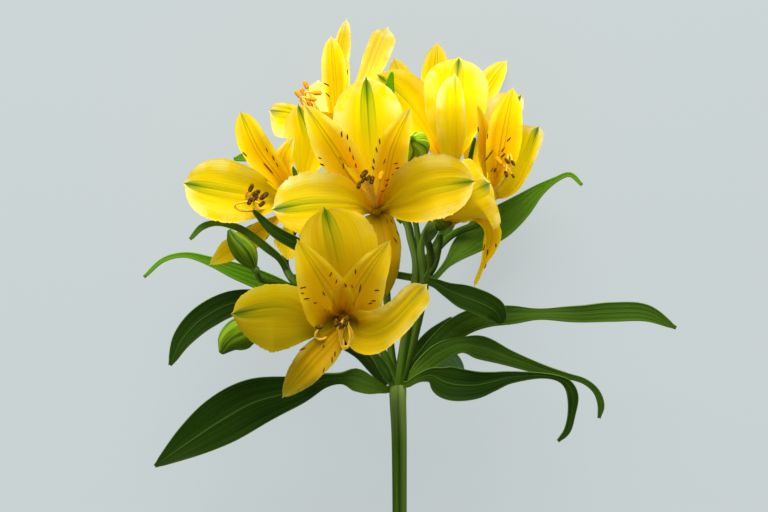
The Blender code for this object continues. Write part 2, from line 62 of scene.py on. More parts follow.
# Share of the greatest half width, evenly spaced from the base to the tip
OUTER_TEPAL = (
    0.16, 0.165, 0.17, 0.22, 0.3, 0.44, 0.58, 0.72, 0.85,
    0.94, 0.99, 1.01, 1.0, 0.93, 0.8, 0.54, 0.05,
)
INNER_TEPAL = (
    0.17, 0.17, 0.18, 0.25, 0.34, 0.5, 0.66, 0.81, 0.93,
    0.99, 1.0, 0.96, 0.87, 0.73, 0.55, 0.33, 0.03,
)
OPEN_TEPAL = (
    0.2, 0.28, 0.44, 0.64, 0.82, 0.94, 1.0, 1.02, 1.0,
    0.95, 0.87, 0.77, 0.66, 0.54, 0.4, 0.24, 0.03,
)
TWISTED_TEPAL = (
    0.18, 0.24, 0.36, 0.52, 0.7, 0.85, 0.95, 1.0, 0.98,
    0.9, 0.8, 0.71, 0.65, 0.62, 0.6, 0.48, 0.05,
)
TAILED_TEPAL = (
    0.3, 0.5, 0.72, 0.88, 0.97, 1.0, 1.0, 0.98, 0.94,
    0.88, 0.78, 0.62, 0.42, 0.28, 0.24, 0.22, 0.12,
)
BROAD_TEPAL = (
    0.2, 0.27, 0.36, 0.46, 0.58, 0.68, 0.77, 0.84, 0.9,
    0.95, 0.99, 1.0, 0.98, 0.9, 0.75, 0.5, 0.04,
)
FAN_TEPAL = (
    0.3, 0.4, 0.52, 0.64, 0.75, 0.83, 0.9, 0.95, 0.98,
    1.0, 1.0, 1.0, 1.0, 0.99, 0.95, 0.84, 0.1,
)
BLUNT_TEPAL = (
    0.16, 0.17, 0.19, 0.24, 0.32, 0.42, 0.52, 0.62, 0.72,
    0.8, 0.87, 0.93, 0.97, 1.0, 0.98, 0.86, 0.1,
)

# Across a tepal, the angle that each half bends through, from the claw to the tip, in degrees
CLAW_CUP = (100, 70, 40, 22, 12)

# A bloom: its base, the axis that it opens along, its tepals and its anthers.
# A tepal: its outline, where its midrib goes, its width, its roll from the camera and its lean to the right.
BLOOMS = {
    "bloom_front": dict(
        base=(344, 317, 10),
        axis=(-0.05, -0.1, 1.0),
        tepals=(
            (OUTER_TEPAL, ((342, 292, 24), (335, 250, 33), (324, 207, 36)), 29.0, (0, 0), 0.12),
            (OUTER_TEPAL, ((324, 316, 25), (278, 307, 38), (231, 314, 40)), 27.0, (15, 25), -0.25),
            (TWISTED_TEPAL, ((360, 330, 26), (390, 323, 42), (427, 284, 47)), 18.5, (0, 0), 0.0),
            (OPEN_TEPAL, ((338, 302, 30), (318, 271, 42), (297, 239, 47)), 20.0, (0, 0), -0.32),
            (OPEN_TEPAL, ((350, 302, 30), (368, 271, 42), (390, 240, 47)), 19.4, (0, 0), 0.25),
            (INNER_TEPAL, ((336, 336, 30), (311, 363, 37), (282, 398, 30)), 12.6, (0, 0), 0.0),
        ),
        anthers=(
            (319, 327, 40), (336, 323, 44), (341, 325, 45),
            (346, 321, 46), (347, 318, 40), (339, 328, 38),
        ),
    ),
    "bloom_middle": dict(
        base=(377, 212, -10),
        axis=(-0.02, 0.1, 1.0),
        tepals=(
            (OUTER_TEPAL, ((374, 185, 8), (369, 130, 18), (366, 76, 20)), 26.6, (0, 0), 0.0),
            (OUTER_TEPAL, ((356, 205, 8), (315, 203, 22), (271, 210, 24)), 24.0, (0, 0), 0.0),
            (OUTER_TEPAL, ((394, 204, 8), (430, 188, 24), (476, 181, 27)), 24.5, (0, 0), 0.0),
            (INNER_TEPAL, ((357, 184, 10), (329, 141, 24), (304, 104, 28)), 15.4, (0, 0), 0.0),
            (INNER_TEPAL, ((385, 188, 10), (393, 148, 24), (411, 107, 28)), 13.4, (0, 0), 0.0),
            (OPEN_TEPAL, ((380, 226, 6), (386, 258, 11), (387, 296, 4)), 14.0, (0, 0), 0.0),
        ),
        anthers=(
            (364, 174, 28), (359, 185, 30), (368, 178, 27),
            (381, 176, 26), (372, 180, 26), (363, 180, 28),
        ),
    ),
    "bloom_left": dict(
        base=(293, 206, -24),
        axis=(-0.75, 0.1, 0.65),
        tepals=(
            (OUTER_TEPAL, ((268, 198, -8), (226, 191, 0), (183, 183, 0)), 24.0, (0, 0), 0.0),
            (OUTER_TEPAL, ((303, 178, -22), (309, 142, -17), (298, 104, -13)), 17.5, (0, 0), 0.0),
            (OUTER_TEPAL, ((287, 225, -24), (283, 243, -21), (287, 260, -17)), 12.0, (50, 60), 0.0),
            (BROAD_TEPAL, ((282, 183, -8), (257, 149, -1), (240, 111, 2)), 12.0, (0, 0), 0.0),
            (INNER_TEPAL, ((288, 185, -11), (284, 160, -6), (294, 136, -2)), 9.0, (30, 30), 0.0),
            (INNER_TEPAL, ((276, 218, -14), (246, 238, -12), (209, 265, -12)), 12.0, (30, 35), 0.0),
        ),
        anthers=((251, 188, 8), (256, 193, 9), (255, 198, 9), (250, 201, 9), (262, 204, 6), (264, 196, 4)),
    ),
    "bloom_top_left": dict(
        base=(345, 155, -38),
        axis=(-0.5, 0.75, 0.1),
        tepals=(
            (BLUNT_TEPAL, ((320, 130, -36), (292, 114, -31), (269, 110, -28)), 14.0, (0, 0), -0.5),
            (BLUNT_TEPAL, ((354, 115, -42), (371, 70, -44), (388, 27, -40)), 10.2, (0, 0), 0.0),
            (OUTER_TEPAL, ((334, 125, -50), (322, 102, -59), (318, 80, -60)), 16.0, (0, 0), 0.0),
            (BROAD_TEPAL, ((337, 120, -32), (335, 80, -32), (331, 36, -32)), 10.0, (0, 0), 0.0),
            (BROAD_TEPAL, ((343, 110, -46), (340, 62, -48), (347, 18, -46)), 7.6, (0, 0), 0.0),
            (INNER_TEPAL, ((331, 130, -30), (322, 119, -26), (316, 112, -24)), 12.0, (0, 0), 0.0),
        ),
        anthers=(
            (306, 85, -36), (298, 94, -34), (303, 92, -38),
            (317, 93, -28), (312, 99, -26), (310, 104, -30),
        ),
    ),
    "bloom_top": dict(
        base=(449, 181, -27),
        axis=(0.0, 1.0, -0.1),
        tepals=(
            (OUTER_TEPAL, ((432, 140, -32), (409, 104, -30), (377, 74, -26)), 20.0, (0, 0), 0.0),
            (OUTER_TEPAL, ((452, 140, -18), (455, 100, -14), (459, 57, -18)), 25.4, (0, 0), 0.0),
            (BROAD_TEPAL, ((456, 150, -8), (456, 110, 0), (455, 73, -3)), 11.6, (0, 0), -0.4),
            (BROAD_TEPAL, ((429, 130, -42), (406, 90, -48), (393, 57, -46)), 11.6, (0, 0), 0.0),
            (BROAD_TEPAL, ((441, 130, -34), (436, 82, -37), (437, 42, -35)), 12.0, (0, 0), 0.0),
            (BROAD_TEPAL, ((464, 140, -42), (485, 95, -55), (507, 60, -60)), 11.4, (0, 0), -0.2),
        ),
        anthers=(
            (440, 118, -26), (452, 120, -24), (446, 112, -30),
            (436, 125, -28), (456, 126, -27), (448, 122, -33),
        ),
    ),
    "bloom_right": dict(
        base=(489, 202, -28),
        axis=(0.3, 0.8, 0.5),
        tepals=(
            (OUTER_TEPAL, ((497, 164, -24), (506, 125, -20), (522, 94, -17)), 15.5, (0, 0), -0.45),
            (FAN_TEPAL, ((513, 187, -23), (527, 159, -20), (539, 126, -16)), 13.0, (0, 0), -0.5),
            (OUTER_TEPAL, ((487, 182, -38), (484, 160, -50), (484, 138, -57)), 17.0, (0, 0), 0.0),
            (INNER_TEPAL, ((498, 168, -13), (505, 130, -9), (513, 87, -10)), 14.4, (0, 0), 0.0),
            (INNER_TEPAL, ((485, 165, -22), (484, 130, -12), (477, 104, -7)), 5.6, (0, 0), 0.0),
            (INNER_TEPAL, ((503, 180, -34), (515, 165, -41), (523, 148, -46)), 9.0, (0, 0), 0.0),
        ),
        anthers=(
            (499, 161, 0), (507, 161, 2), (513, 163, 3),
            (506, 174, 4), (495, 170, -12), (513, 176, -4),
        ),
    ),
    "bloom_lower_right": dict(
        base=(437, 226, 4),
        axis=(0.8, 0.3, 0.35),
        tepals=(
            (BLUNT_TEPAL, ((452, 211, 14), (469, 194, 19), (490, 183, 17)), 29.0, (180, 180), -0.14),
            (OUTER_TEPAL, ((458, 208, 5), (475, 192, 4), (490, 180, 3)), 16.0, (0, 0), 0.0),
            (OUTER_TEPAL, ((457, 214, 0), (472, 204, -2), (486, 196, -2)), 15.0, (0, 0), 0.0),
            (TAILED_TEPAL, ((473, 212, 8), (492, 236, 8), (474, 287, 5)), 7.2, (0, 0), 0.0),
            (INNER_TEPAL, ((456, 205, 9), (470, 190, 10), (483, 175, 10)), 11.0, (0, 0), 0.0),
            (INNER_TEPAL, ((458, 212, 10), (474, 204, 12), (488, 206, 11)), 11.0, (0, 0), 0.0),
        ),
        anthers=((478, 208, 10), (482, 202, 9), (474, 204, 8)),
    ),
}

# For each tepal: how green its middle is, how much painted shade it has (its yellow turned gold, and olive past 1),
# how pale its margin is (partly its own colour and partly a painted glow of backlight), how far its right shoulder
# stands above its left one, and how ragged its end is.
TONES = {
    "bloom_front": ((0.9, 0.95, 0.1, 0.8, 0.3), (0.9, 1.1, 0.1, 0.0, 0.4), (0.25, 1.0, 0.45, 0.0, 0.3),
                    (0.4, 0.55, 0.1, 0.0, 0.3), (0.4, 0.75, 0.1, 0.0, 0.3), (0.3, 2.0, 0.1, 0.0, 0.4)),
    "bloom_middle": ((1.0, 0.0, 0.8, 0.0, 0.3), (0.9, 0.35, 1.1, 0.35, 0.9), (0.6, 0.85, 0.4, 0.0, 0.5),
                     (0.6, 0.0, 0.3, 0.0, 0.3), (0.5, 0.2, 0.2, 0.0, 0.3), (0.0, 2.0, 0.0, 0.0, 0.3)),
    "bloom_left": ((0.8, 0.45, 0.6, 0.0, 0.4), (0.9, 0.05, 0.3, 0.0, 0.3), (0.2, 0.5, 0.2, 0.0, 0.3),
                   (0.5, 0.0, 0.1, 0.0, 0.3), (0.5, 0.0, 0.6, 0.0, 0.3), (0.0, 0.35, 0.1, 0.0, 0.3)),
    "bloom_top_left": ((0.4, 0.0, 0.8, 0.0, 0.3), (0.1, 0.0, 1.25, 0.0, 0.3), (0.0, 0.0, 1.5, 0.0, 0.3),
                       (0.3, 0.0, 0.5, 0.0, 0.3), (0.1, 0.0, 1.1, 0.0, 0.4), (0.0, 0.2, 0.0, 0.0, 0.3)),
    "bloom_top": ((0.6, 0.0, 0.3, 0.0, 0.3), (0.6, 0.1, 0.5, 0.0, 0.2), (0.3, 0.1, 0.8, 0.0, 0.3),
                  (0.1, 0.0, 0.2, 0.0, 0.3), (0.1, 0.0, 0.2, 0.0, 0.3), (0.1, 0.0, 0.3, 0.0, 0.3)),
    "bloom_right": ((0.7, 0.0, 1.4, 0.0, 0.3), (0.7, 0.1, 1.0, 0.0, 0.3), (0.0, 0.3, 0.0, 0.0, 0.3),
                    (0.2, 0.0, 0.1, 0.0, 0.3), (0.1, 0.1, 0.3, 0.0, 0.3), (0.0, 0.3, 0.0, 0.0, 0.3)),
    "bloom_lower_right": ((0.5, 0.7, 0.5, 0.0, 0.6), (0.0, 0.6, 0.0, 0.0, 0.3), (0.0, 0.6, 0.0, 0.0, 0.3),
                          (0.0, 0.6, 0.0, 0.0, 0.4), (0.0, 0.4, 0.0, 0.0, 0.3), (0.0, 0.6, 0.0, 0.0, 0.3)),
}

# How strong the orange tint near each bloom's throat is; the tepal's painted shade turns it olive
THROATS = {"bloom_middle": 0.6, "bloom_top_left": 0.5, "bloom_right": 0.25, "bloom_left": 0.5}

# How much painted light a tepal's right half gets over its left one, which gets more painted shade and less of its pale
# margin, for those where it shows
LIT_HALVES = {"bloom_front": {0: 0.25, 1: 0.9}, "bloom_middle": {1: 0.6}}

# A leaf: the points of its midrib, each with a depth, the width there and the roll from the camera.
LEAVES = {
    "leaf_lower_left": (
        (389, 389.5, -3, 2.2, 0), (380, 388, -4, 3.8, 0), (369, 385, -5, 6.8, 0), (355, 379.5, -6, 8.4, 0),
        (341, 378.5, -6, 5.0, 30), (322, 381, -7, 6.5, 20), (295, 391, -9, 11.5, 0), (255, 402, -11, 18.5, 0),
        (222, 420, -12, 19.0, 0), (190, 441, -12, 13.0, 0), (155, 466, -11, 1.2, 0),
    ),
    "leaf_middle_left": (
        (384, 382, -10, 2.6, 0), (373, 367, -18, 4.4, 0), (359, 350, -22, 6.0, 0), (335, 334, -24, 8.0, 0),
        (285, 308, -24, 9.0, 0), (240, 302, -22, 9.5, 0), (206, 316, -20, 10.0, 0), (183, 338, -18, 7.5, 0),
        (170, 365, -16, 1.6, 0),
    ),
    "leaf_upper_left": (
        (389, 377, -18, 3.0, 0), (366, 356, -28, 5.0, 0), (330, 325, -34, 7.0, 0), (290, 295, -36, 7.5, 0),
        (262, 281, -36, 7.5, 0), (236, 271, -35, 6.2, 0), (212, 262, -34, 3.6, 0), (186, 255, -34, 1.8, 0),
        (163, 260, -34, 1.4, 0), (144, 277, -34, 1.0, 0),
    ),
    "leaf_short": ((390, 379, 3, 2.8, 0), (383, 367, 2, 3.8, 0), (374, 354, -1, 1.4, 0)),
    "bract_left": (
        (280, 259, -13, 2.2, 0), (268, 249, -8, 2.7, 0), (252, 236, -5, 2.6, 0), (236, 227, -4, 2.2, 0),
        (218, 223, -3, 1.8, 0), (202, 227, -3, 2.0, 0), (190, 239, -4, 1.0, 0),
    ),
    "bract_dark": (
        (382, 272, -6, 2.4, 0), (355, 266, -2, 3.6, 0), (322, 256, 0, 4.2, 0), (295, 243, 1, 4.6, 0),
        (273, 230, 2, 3.8, 0), (253, 210, 2, 1.0, 0),
    ),
    "bract_behind_left": (
        (303, 276, -20, 2.4, 0), (306, 240, -38, 4.5, 0), (301, 195, -44, 5.5, 0), (280, 165, -42, 6.5, 0),
        (256, 156, -40, 5.0, 0), (234, 159, -39, 1.2, 0),
    ),
    "bract_top": (
        (400, 219, -28, 2.4, 0), (397, 185, -31, 5.0, 0), (396, 140, -26, 6.0, 0), (389, 98, -17, 4.4, 0),
        (392, 72, -14, 1.0, 0),
    ),
    "leaf_long_right": (
        (408, 377, -8, 3.4, 0), (420, 364, -10, 6.0, 0), (440, 343, -11, 8.0, 0), (462, 325, -11, 8.5, 0),
        (485, 317, -9, 8.0, 0), (510, 315, -8, 7.0, 0), (540, 314, -8, 4.6, 30), (579, 314, -8, 6.2, 0),
        (612, 312, -9, 7.2, 0), (646, 313, -10, 6.2, 0), (676, 328, -11, 1.0, 0),
    ),
    "leaf_curved_right": (
        (412, 376, -1, 3.4, 0), (422, 367, -2, 6.0, 0), (440, 353, -2, 7.5, 0), (461, 345, -1, 6.0, 20),
        (482, 348, -1, 8.8, 0), (509, 358, -1, 5.8, 0), (542, 369.5, -2, 3.6, 0), (567, 376, -2, 2.0, 0),
        (584, 381, -2, 1.8, 0), (596, 391, -3, 2.0, 0), (601, 405, -3, 2.2, 0), (599, 418, -3, 1.0, 0),
    ),
    "leaf_lower_right": (
        (407, 384.5, 3, 2.0, 0), (414, 380.5, 4, 2.4, 0), (422, 377, 4, 3.4, 0), (432, 375.5, 4, 6.0, 0),
        (443, 381, 4, 11.6, 0), (456, 384.5, 4, 12.4, 0), (475, 385, 4, 10.5, 0), (493, 381.5, 4, 7.2, 0),
        (510, 377.5, 4, 4.4, 0), (538, 375.5, 4, 2.0, 0), (557, 378, 4, 1.8, 0), (568, 384.5, 3, 3.2, 0),
        (573, 397, 3, 3.9, 0), (571.5, 415, 2, 2.6, 0), (567, 431, 2, 2.2, 0), (558, 441, 2, 1.0, 0),
    ),
    "leaf_curled_right": (
        (427, 280, 1, 2.4, 0), (437, 284, 4, 3.4, 0), (448, 290, 6, 5.4, 0), (462, 296, 7, 8.6, 0),
        (476, 301, 8, 9.2, 0), (487, 306, 8, 9.2, 0), (496, 312, 7, 8.0, 0), (502, 323, 5, 3.2, 0),
    ),
    "leaf_upper_right": (
        (434, 278, -10, 1.8, 0), (448, 263, -22, 2.8, 0), (463, 247, -33, 9.0, 0), (480, 234, -40, 12.5, 0),
        (500, 222, -40, 12.8, 0), (520, 207, -40, 9.6, 0), (538, 191, -40, 4.8, 0), (555, 180, -39, 1.9, 0),
        (570, 174.5, -38, 1.5, 0), (582, 185, -38, 1.0, 0),
    ),
    "leaf_narrow_right": (
        (426, 262, -22, 2.4, 0), (441, 240, -37, 4.2, 0), (456, 208, -42, 3.8, 0), (466, 175, -36, 2.0, 0),
        (475, 138, -32, 0.9, 0),
    ),
    "leaf_short_right": (
        (406, 372, -14, 3.0, 0), (418, 354, -20, 6.0, 0), (434, 336, -21, 6.0, 0), (452, 318, -22, 1.2, 0),
    ),
    "leaf_grey_right": (
        (408, 379, -15, 3.0, 0), (422, 368, -22, 6.0, 0), (438, 360, -25, 9.0, 0), (449, 363, -25, 9.0, 0),
        (455, 374, -25, 7.5, 0), (456, 387, -24, 3.0, 0),
    ),
}

# A bud: the points of its middle from its base to its tip, each with a depth, and its diameter
BUDS = {
    "bud_left": (((254, 267, 2), (245, 252, 3), (235, 240, 3), (229, 230, 2)), 9.0),
    "bud_lower": (((262, 329, 14), (245, 332, 15), (230, 340, 15), (221, 353, 14)), 12.0),
    "bud_top": (((406, 162, -12), (414, 150, -5), (417, 142, 1), (411, 139, 8)), 10.4),
}

# The stem and its rays: points with a depth and a diameter. Rays to a bloom or a bud end in its ovary.
MAIN_STEM = (
    (398.5, 382, -2, 4.4), (398, 389, -0.5, 6.4), (398, 402, 0, 6.3), (399.2, 440, -4, 5.8),
    (399.6, 512, -14, 5.5), (400, 620, -36, 5.3), (400, 716, -58.58, 5.2),
)
RAYS = {
    "bloom_front": ((397, 388, 0, 4.0), (385, 356, -1, 3.0), (365, 328, -2, 3.0), (350, 310, 2, 3.0)),
    "bloom_middle": ((398, 388, 0, 4.4), (405, 340, -1, 3.6), (414, 290, -5, 3.4), (416, 262, -12, 3.2),
                     (411, 239, -20, 3.2), (407, 223, -25, 3.2), (397, 212, -25, 3.2), (383, 213, -20, 3.2)),
    "bloom_left": ((396, 387, -2, 4.0), (370, 350, -12, 3.2), (330, 312, -16, 3.0), (298, 286, -14, 3.0),
                   (285, 264, -22, 3.0), (291, 238, -37, 2.8), (301, 214, -36, 2.8)),
    "bloom_top_left": ((396, 386, -2, 4.0), (391, 350, -9, 3.0), (387, 300, -16, 3.0), (384, 255, -24, 3.0),
                       (372, 205, -34, 3.0), (354, 170, -38, 3.0)),
    "bloom_top": ((399, 387, 0, 4.2), (413, 340, -3, 3.6), (424, 283, -6, 3.8), (421, 245, -14, 3.0),
                  (436, 215, -26, 3.0), (448, 195, -28, 3.0)),
    "bloom_right": ((424, 285, -6, 3.4), (431, 258, -14, 2.8), (452, 235, -29, 2.8), (478, 224, -34, 2.8)),
    "bloom_lower_right": ((427, 284, -6, 3.2), (431, 265, -5, 2.8), (430, 250, -4, 2.8), (427, 240, -2, 2.8)),
    "bud_left": ((305, 290, -14, 2.6), (278, 283, -7, 2.2), (261, 280, -2, 2.2), (256, 271, 1, 2.2)),
    "bud_lower": ((350, 330, -13, 2.6), (312, 326, -2, 2.2), (286, 327, 8, 2.2), (269, 328, 12, 2.2)),
    "bud_top": ((420, 250, -13, 2.4), (414, 215, -20, 2.2), (407, 188, -18, 2.2), (403, 172, -15, 2.2)),
    "stub": ((425, 280, -6, 2.4), (435, 266, -3, 2.0), (440, 245, -2, 1.8), (440, 234, -1, 2.4)),
}

# Where the dark streaks lie, in pixels of the picture, for each bloom's tepals by their place in its list.
# One that doesn't run along its tepal has its angle in the picture too, and one of another length has that.
FLECKS = {
    "bloom_front": {
        3: ((331, 274, 70), (336.5, 282, 75), (303, 287, 5), (302, 293, 0), (307, 298, -5), (316, 303, -15), (324, 293, -60),
            (325, 310, 0, 1.2), (328, 311.5, 0, 1.2), (329.7, 313, 0, 1.2)),
        4: ((356, 272, 95), (346, 285, -70), (352.5, 287, -70), (360.6, 289, 62, 4.6), (377, 291, 15), (374, 301, 15),
            (371, 304, 20), (352, 316, 0, 1.2), (355, 313, 0, 1.2), (357, 310.6, 0, 1.2), (358.6, 312.3, 0, 1.2),
            (363, 311.6, 0, 1.2)),
        5: ((302, 349.5, 20), (324, 346, 60, 1.4), (335, 353.5, 90), (332.5, 360, 90), (323.6, 370, 80)),
    },
    "bloom_middle": {
        3: ((341, 134, 95), (347.4, 137, 90), (350.4, 149.5, 90), (353, 157, 85), (356, 165, 80), (357, 173, 50),
            (319.5, 157.5, -15), (322, 165.5, -15), (329, 173, -15), (334, 177, -20), (340.5, 184.5, -15), (340, 158, -55),
            (344, 165.5, -65)),
        4: ((378, 141, -75), (374, 149, -70), (373, 160, -70), (372, 168, -65), (385, 161, 72, 3.4), (396.5, 163, 25),
            (397, 168, 25), (393, 174.5, 30), (388, 180, 35), (387, 185, 40), (383, 191, 60)),
        5: ((387, 221, -45), (391.5, 221, -45), (397, 233, -45), (396, 240, -50)),
    },
    "bloom_left": {
        3: ((244.8, 155, -35), (267.4, 150.3, 95), (273.7, 158, 95), (277, 165, 95), (268.2, 169, -50, 6.0), (256, 175, -25),
            (262.7, 182.6, -25)),
        5: ((250, 225, 15), (267, 237, 60), (255, 240, 0)),
    },
    "bloom_top_left": {3: ((326, 84.5, -25), (328, 95, -35)), 4: ((347, 72, 90),)},
    "bloom_top": {4: ((424, 86),)},
    "bloom_right": {
        3: ((488, 136, 85), (509.5, 139, 45), (503, 149.5, 50), (503, 154.7, 45), (489, 156, 57, 5.6), (492, 169, 65)),
        4: ((478, 130),),
    },
    "bloom_lower_right": {3: ((487.3, 253, 80), (484, 247.6, 65), (486.7, 266, 70), (496, 245, 90, 1.6))},
}
# The anthers that are still orange, by their places in the list
ORANGE_ANTHERS = {"bloom_top_left": range(6), "bloom_right": (0,), "bloom_middle": (3,)}

# Which way an anther points in the picture, where that isn't along its filament, and its share of the full size
ANTHER_LOOKS = {
    "bloom_front": {0: (0, 0.8), 1: (85, 0.85), 2: (-55, 0.8), 3: (80, 1.05), 4: (75, 0.6), 5: (60, 0.6)},
    "bloom_middle": {0: (50, 1.0), 1: (75, 0.8), 2: (45, 0.7), 3: (70, 1.0), 4: (75, 0.9), 5: (60, 0.7)},
    "bloom_left": {0: (65, 0.9), 1: (35, 1.0), 2: (45, 0.9), 3: (65, 0.9), 4: (40, 0.8), 5: (40, 1.1)},
    "bloom_right": {0: (-55, 1.0), 1: (-55, 0.7), 2: (-60, 0.65), 3: (-75, 0.7), 4: (60, 0.5), 5: (-60, 0.5)},
}

# Where a filament bends on its way to its anther, by the anther's place in its list
FILAMENTS = {
    "bloom_front": {0: ((325, 338, 34), (315, 337, 38)), 1: ((340, 336, 35), (342, 343, 37), (339, 333, 41)),
                    3: ((343, 344, 34), (349, 346, 38), (353, 335, 42)), 4: ((341, 340, 34), (345, 350, 36), (350, 338, 38))},
    "bloom_left": {3: ((246, 211, 4), (234, 205, 6))},
    "bloom_right": {0: ((507, 174, -4),)},
    "bloom_top_left": {3: ((305, 97, -28),), 4: ((301, 101, -26),)},
}

# How much painted light each leaf has at its foot, a third of the way along it and at its tip. The grey one shows its
# underside.
LEAF_PAINTED_LIGHT = {
    "leaf_lower_left": (1.0, 0.0, 0.1),
    "leaf_middle_left": (0.3, 0.0, 0.1),
    "leaf_upper_left": (0.8, 1.5, 1.5),
    "leaf_short": (0.3, 0.15, 0.15),
    "bract_left": (0.9, 0.9, 1.2),
    "bract_dark": (0.0, 0.0, 0.2),
    "bract_behind_left": (1.3, 1.3, 1.4),
    "bract_top": (2.0, 2.0, 2.0),
    "leaf_long_right": (0.5, 0.35, 0.55),
    "leaf_curved_right": (0.6, 0.25, 0.3),
    "leaf_lower_right": (0.3, 0.0, 0.1),
    "leaf_curled_right": (0.3, 0.1, 0.1),
    "leaf_upper_right": (0.8, 1.0, 1.5),
    "leaf_narrow_right": (0.7, 0.7, 0.8),
    "leaf_short_right": (0.7, 0.5, 0.5),
    "leaf_grey_right": (0.5, 0.5, 0.5),
}

# How much painted shade each bud has, and how much painted light on its right in the picture over its left
BUD_TONES = {"bud_left": (1.05, 0.4), "bud_lower": (0.9, -0.5), "bud_top": (0.0, 0.1)}


def place(pixel_x, pixel_y, depth):
    """The point in the part's frame, in millimetres, that the camera sees at that pixel."""
    scale = MM_PER_PIXEL * (CAMERA_HEIGHT - depth) / CAMERA_HEIGHT
    x = (pixel_x - PICTURE_CENTRE[0]) * scale
    y = (PICTURE_CENTRE[1] - pixel_y) * scale
    return np.array([x, y, depth]) - ORIGIN


def pixel_of(points):
    """The pixel at which the camera sees each point."""
    seen = points + ORIGIN
    scale = MM_PER_PIXEL * (CAMERA_HEIGHT - seen[..., 2]) / CAMERA_HEIGHT
    return np.stack([PICTURE_CENTRE[0] + seen[..., 0] / scale, PICTURE_CENTRE[1] - seen[..., 1] / scale], -1)


def along(values, u):
    """Value at each u from 0 to 1 on a smooth curve through evenly spaced values."""
    values = np.asarray(values, float)
    ends = (2 * values[0] - values[1], 2 * values[-1] - values[-2])
    knots = np.concatenate([[ends[0]], values, [ends[1]]])
    position = np.clip(u, 0, 1) * (len(values) - 1)
    index = np.minimum(position.astype(int), len(values) - 2)
    t = position - index
    t = t.reshape((-1,) + (1,) * (values.ndim - 1))
    a, b, c, d = (knots[index + k] for k in range(4))
    return b + 0.5 * t * (c - a + t * (2 * a - 5 * b + 4 * c - d + t * (3 * (b - c) + d - a)))


def evenly(points, count):
    """A smooth curve through the points at even steps of its length."""
    fine = np.linspace(0, 1, 24 * len(points) + 1)
    curve = along(points, fine)
    lengths = np.concatenate([[0], np.cumsum(np.linalg.norm(np.diff(curve[:, :3], axis=0), axis=1))])
    where = np.interp(np.linspace(0, lengths[-1], count), lengths, fine)
    return along(points, where)


def sampled(rows, count):
    """Points along the rows of a stem or a leaf, each with its other values."""
    return evenly(np.array([np.append(place(*row[:3]), row[3:]) for row in rows]), count)


def unit(vectors):
    return vectors / np.linalg.norm(vectors, axis=-1, keepdims=True)


def outwards(axis, towards):
    """The direction square to the axis that leans the most towards a point."""
    return unit(towards - axis * np.dot(axis, towards))


def frames(curve, rolls):
    """The side and the facing of a blade at each point of its midrib."""
    forward = unit(np.gradient(curve, axis=0))
    camera = np.array([0.0, 0.0, 1.0])
    side = unit(np.cross(forward, camera))
    facing = np.cross(side, forward)
    angle = np.radians(rolls)[:, None]
    return side * np.cos(angle) + facing * np.sin(angle), facing * np.cos(angle) - side * np.sin(angle)


def blade_grid(curve, half_widths, rolls, cups, lean, across):
    """Points of a blade's front face, row by row from its base to its tip."""
    side, facing = frames(curve, rolls)
    v = np.linspace(-1, 1, across + 1)
    bend = np.radians(cups)[:, None] + 1e-6
    spread = np.where(v > 0, 1 + lean, 1 - lean) * half_widths[:, None]
    sideways = spread * np.sin(bend * v) / bend
    raised = np.abs(spread * (1 - np.cos(bend * v)) / bend)
    return curve[:, None] + side[:, None] * sideways[..., None] + facing[:, None] * raised[..., None]


def normals_of(grid):
    return unit(np.cross(np.gradient(grid, axis=1), np.gradient(grid, axis=0)))


def tepal_grid(base, axis, tepal, skew, ragged, seed):
    """Points of a tepal's upper face, with its midrib sunk, its veins raised and its margin ruffled."""
    outline, midrib, width, rolls, lean = tepal
    points = [place(*point) for point in midrib]
    points.insert(0, base + axis * 1.4 + outwards(axis, points[-1] - base) * 1.2)
    rows, across = TEPAL_GRID
    u = np.linspace(0, 1, rows + 1)
    curve = evenly(np.array(points), rows + 1)
    spike = 1 - 0.6 * np.clip((u - 0.965) / 0.02, 0, 1)
    half_widths = along(outline, u) * spike * width / 2
    grid = blade_grid(curve, half_widths, along(rolls, u), along(CLAW_CUP, u), lean, across)
    v = np.linspace(-1, 1, across + 1)
    u = u[:, None]
    chance = np.random.default_rng(seed)
    phase = chance.uniform(0, 6.28, 8)
    open_part = np.sin(u * math.pi)
    ruffle = np.sin(u * 17 + phase[0] + 2.4 * np.sign(v)) + 0.6 * np.sin(u * 31 + phase[1] - v)
    groove = -0.55 * np.exp(-((v / 0.07) ** 2)) * open_part
    swell = 0.22 * np.cos(v * 9.4) * open_part
    pleats = 0.05 * np.sin(v * 44 + phase[2]) * open_part
    rolling = 0.5 * np.sin(u * 7 + v * 2.2 + phase[3]) * open_part * np.abs(v)
    end = np.clip((u - 0.55) / 0.3, 0, 1)
    height = (0.3 + 0.45 * ragged * end) * np.abs(v) ** 4 * open_part * ruffle + groove + swell + pleats + rolling
    teeth = sum(np.sin(u * turns + shift) for turns, shift in zip((83, 131, 211, 307), phase[4:]))
    spread = half_widths[:, None] * 0.022 * ragged * teeth * np.abs(v) ** 6 * np.clip((u - 0.3) / 0.3, 0, 1)
    side = unit(np.gradient(grid, axis=1))
    forward = unit(np.gradient(grid, axis=0))
    lift = skew * v * half_widths[:, None] * 0.6 * end * (1 - np.abs(v) ** 3)
    grid = grid + side * (spread * np.sign(v))[..., None] + forward * lift[..., None]
    return grid + normals_of(grid) * height[..., None]


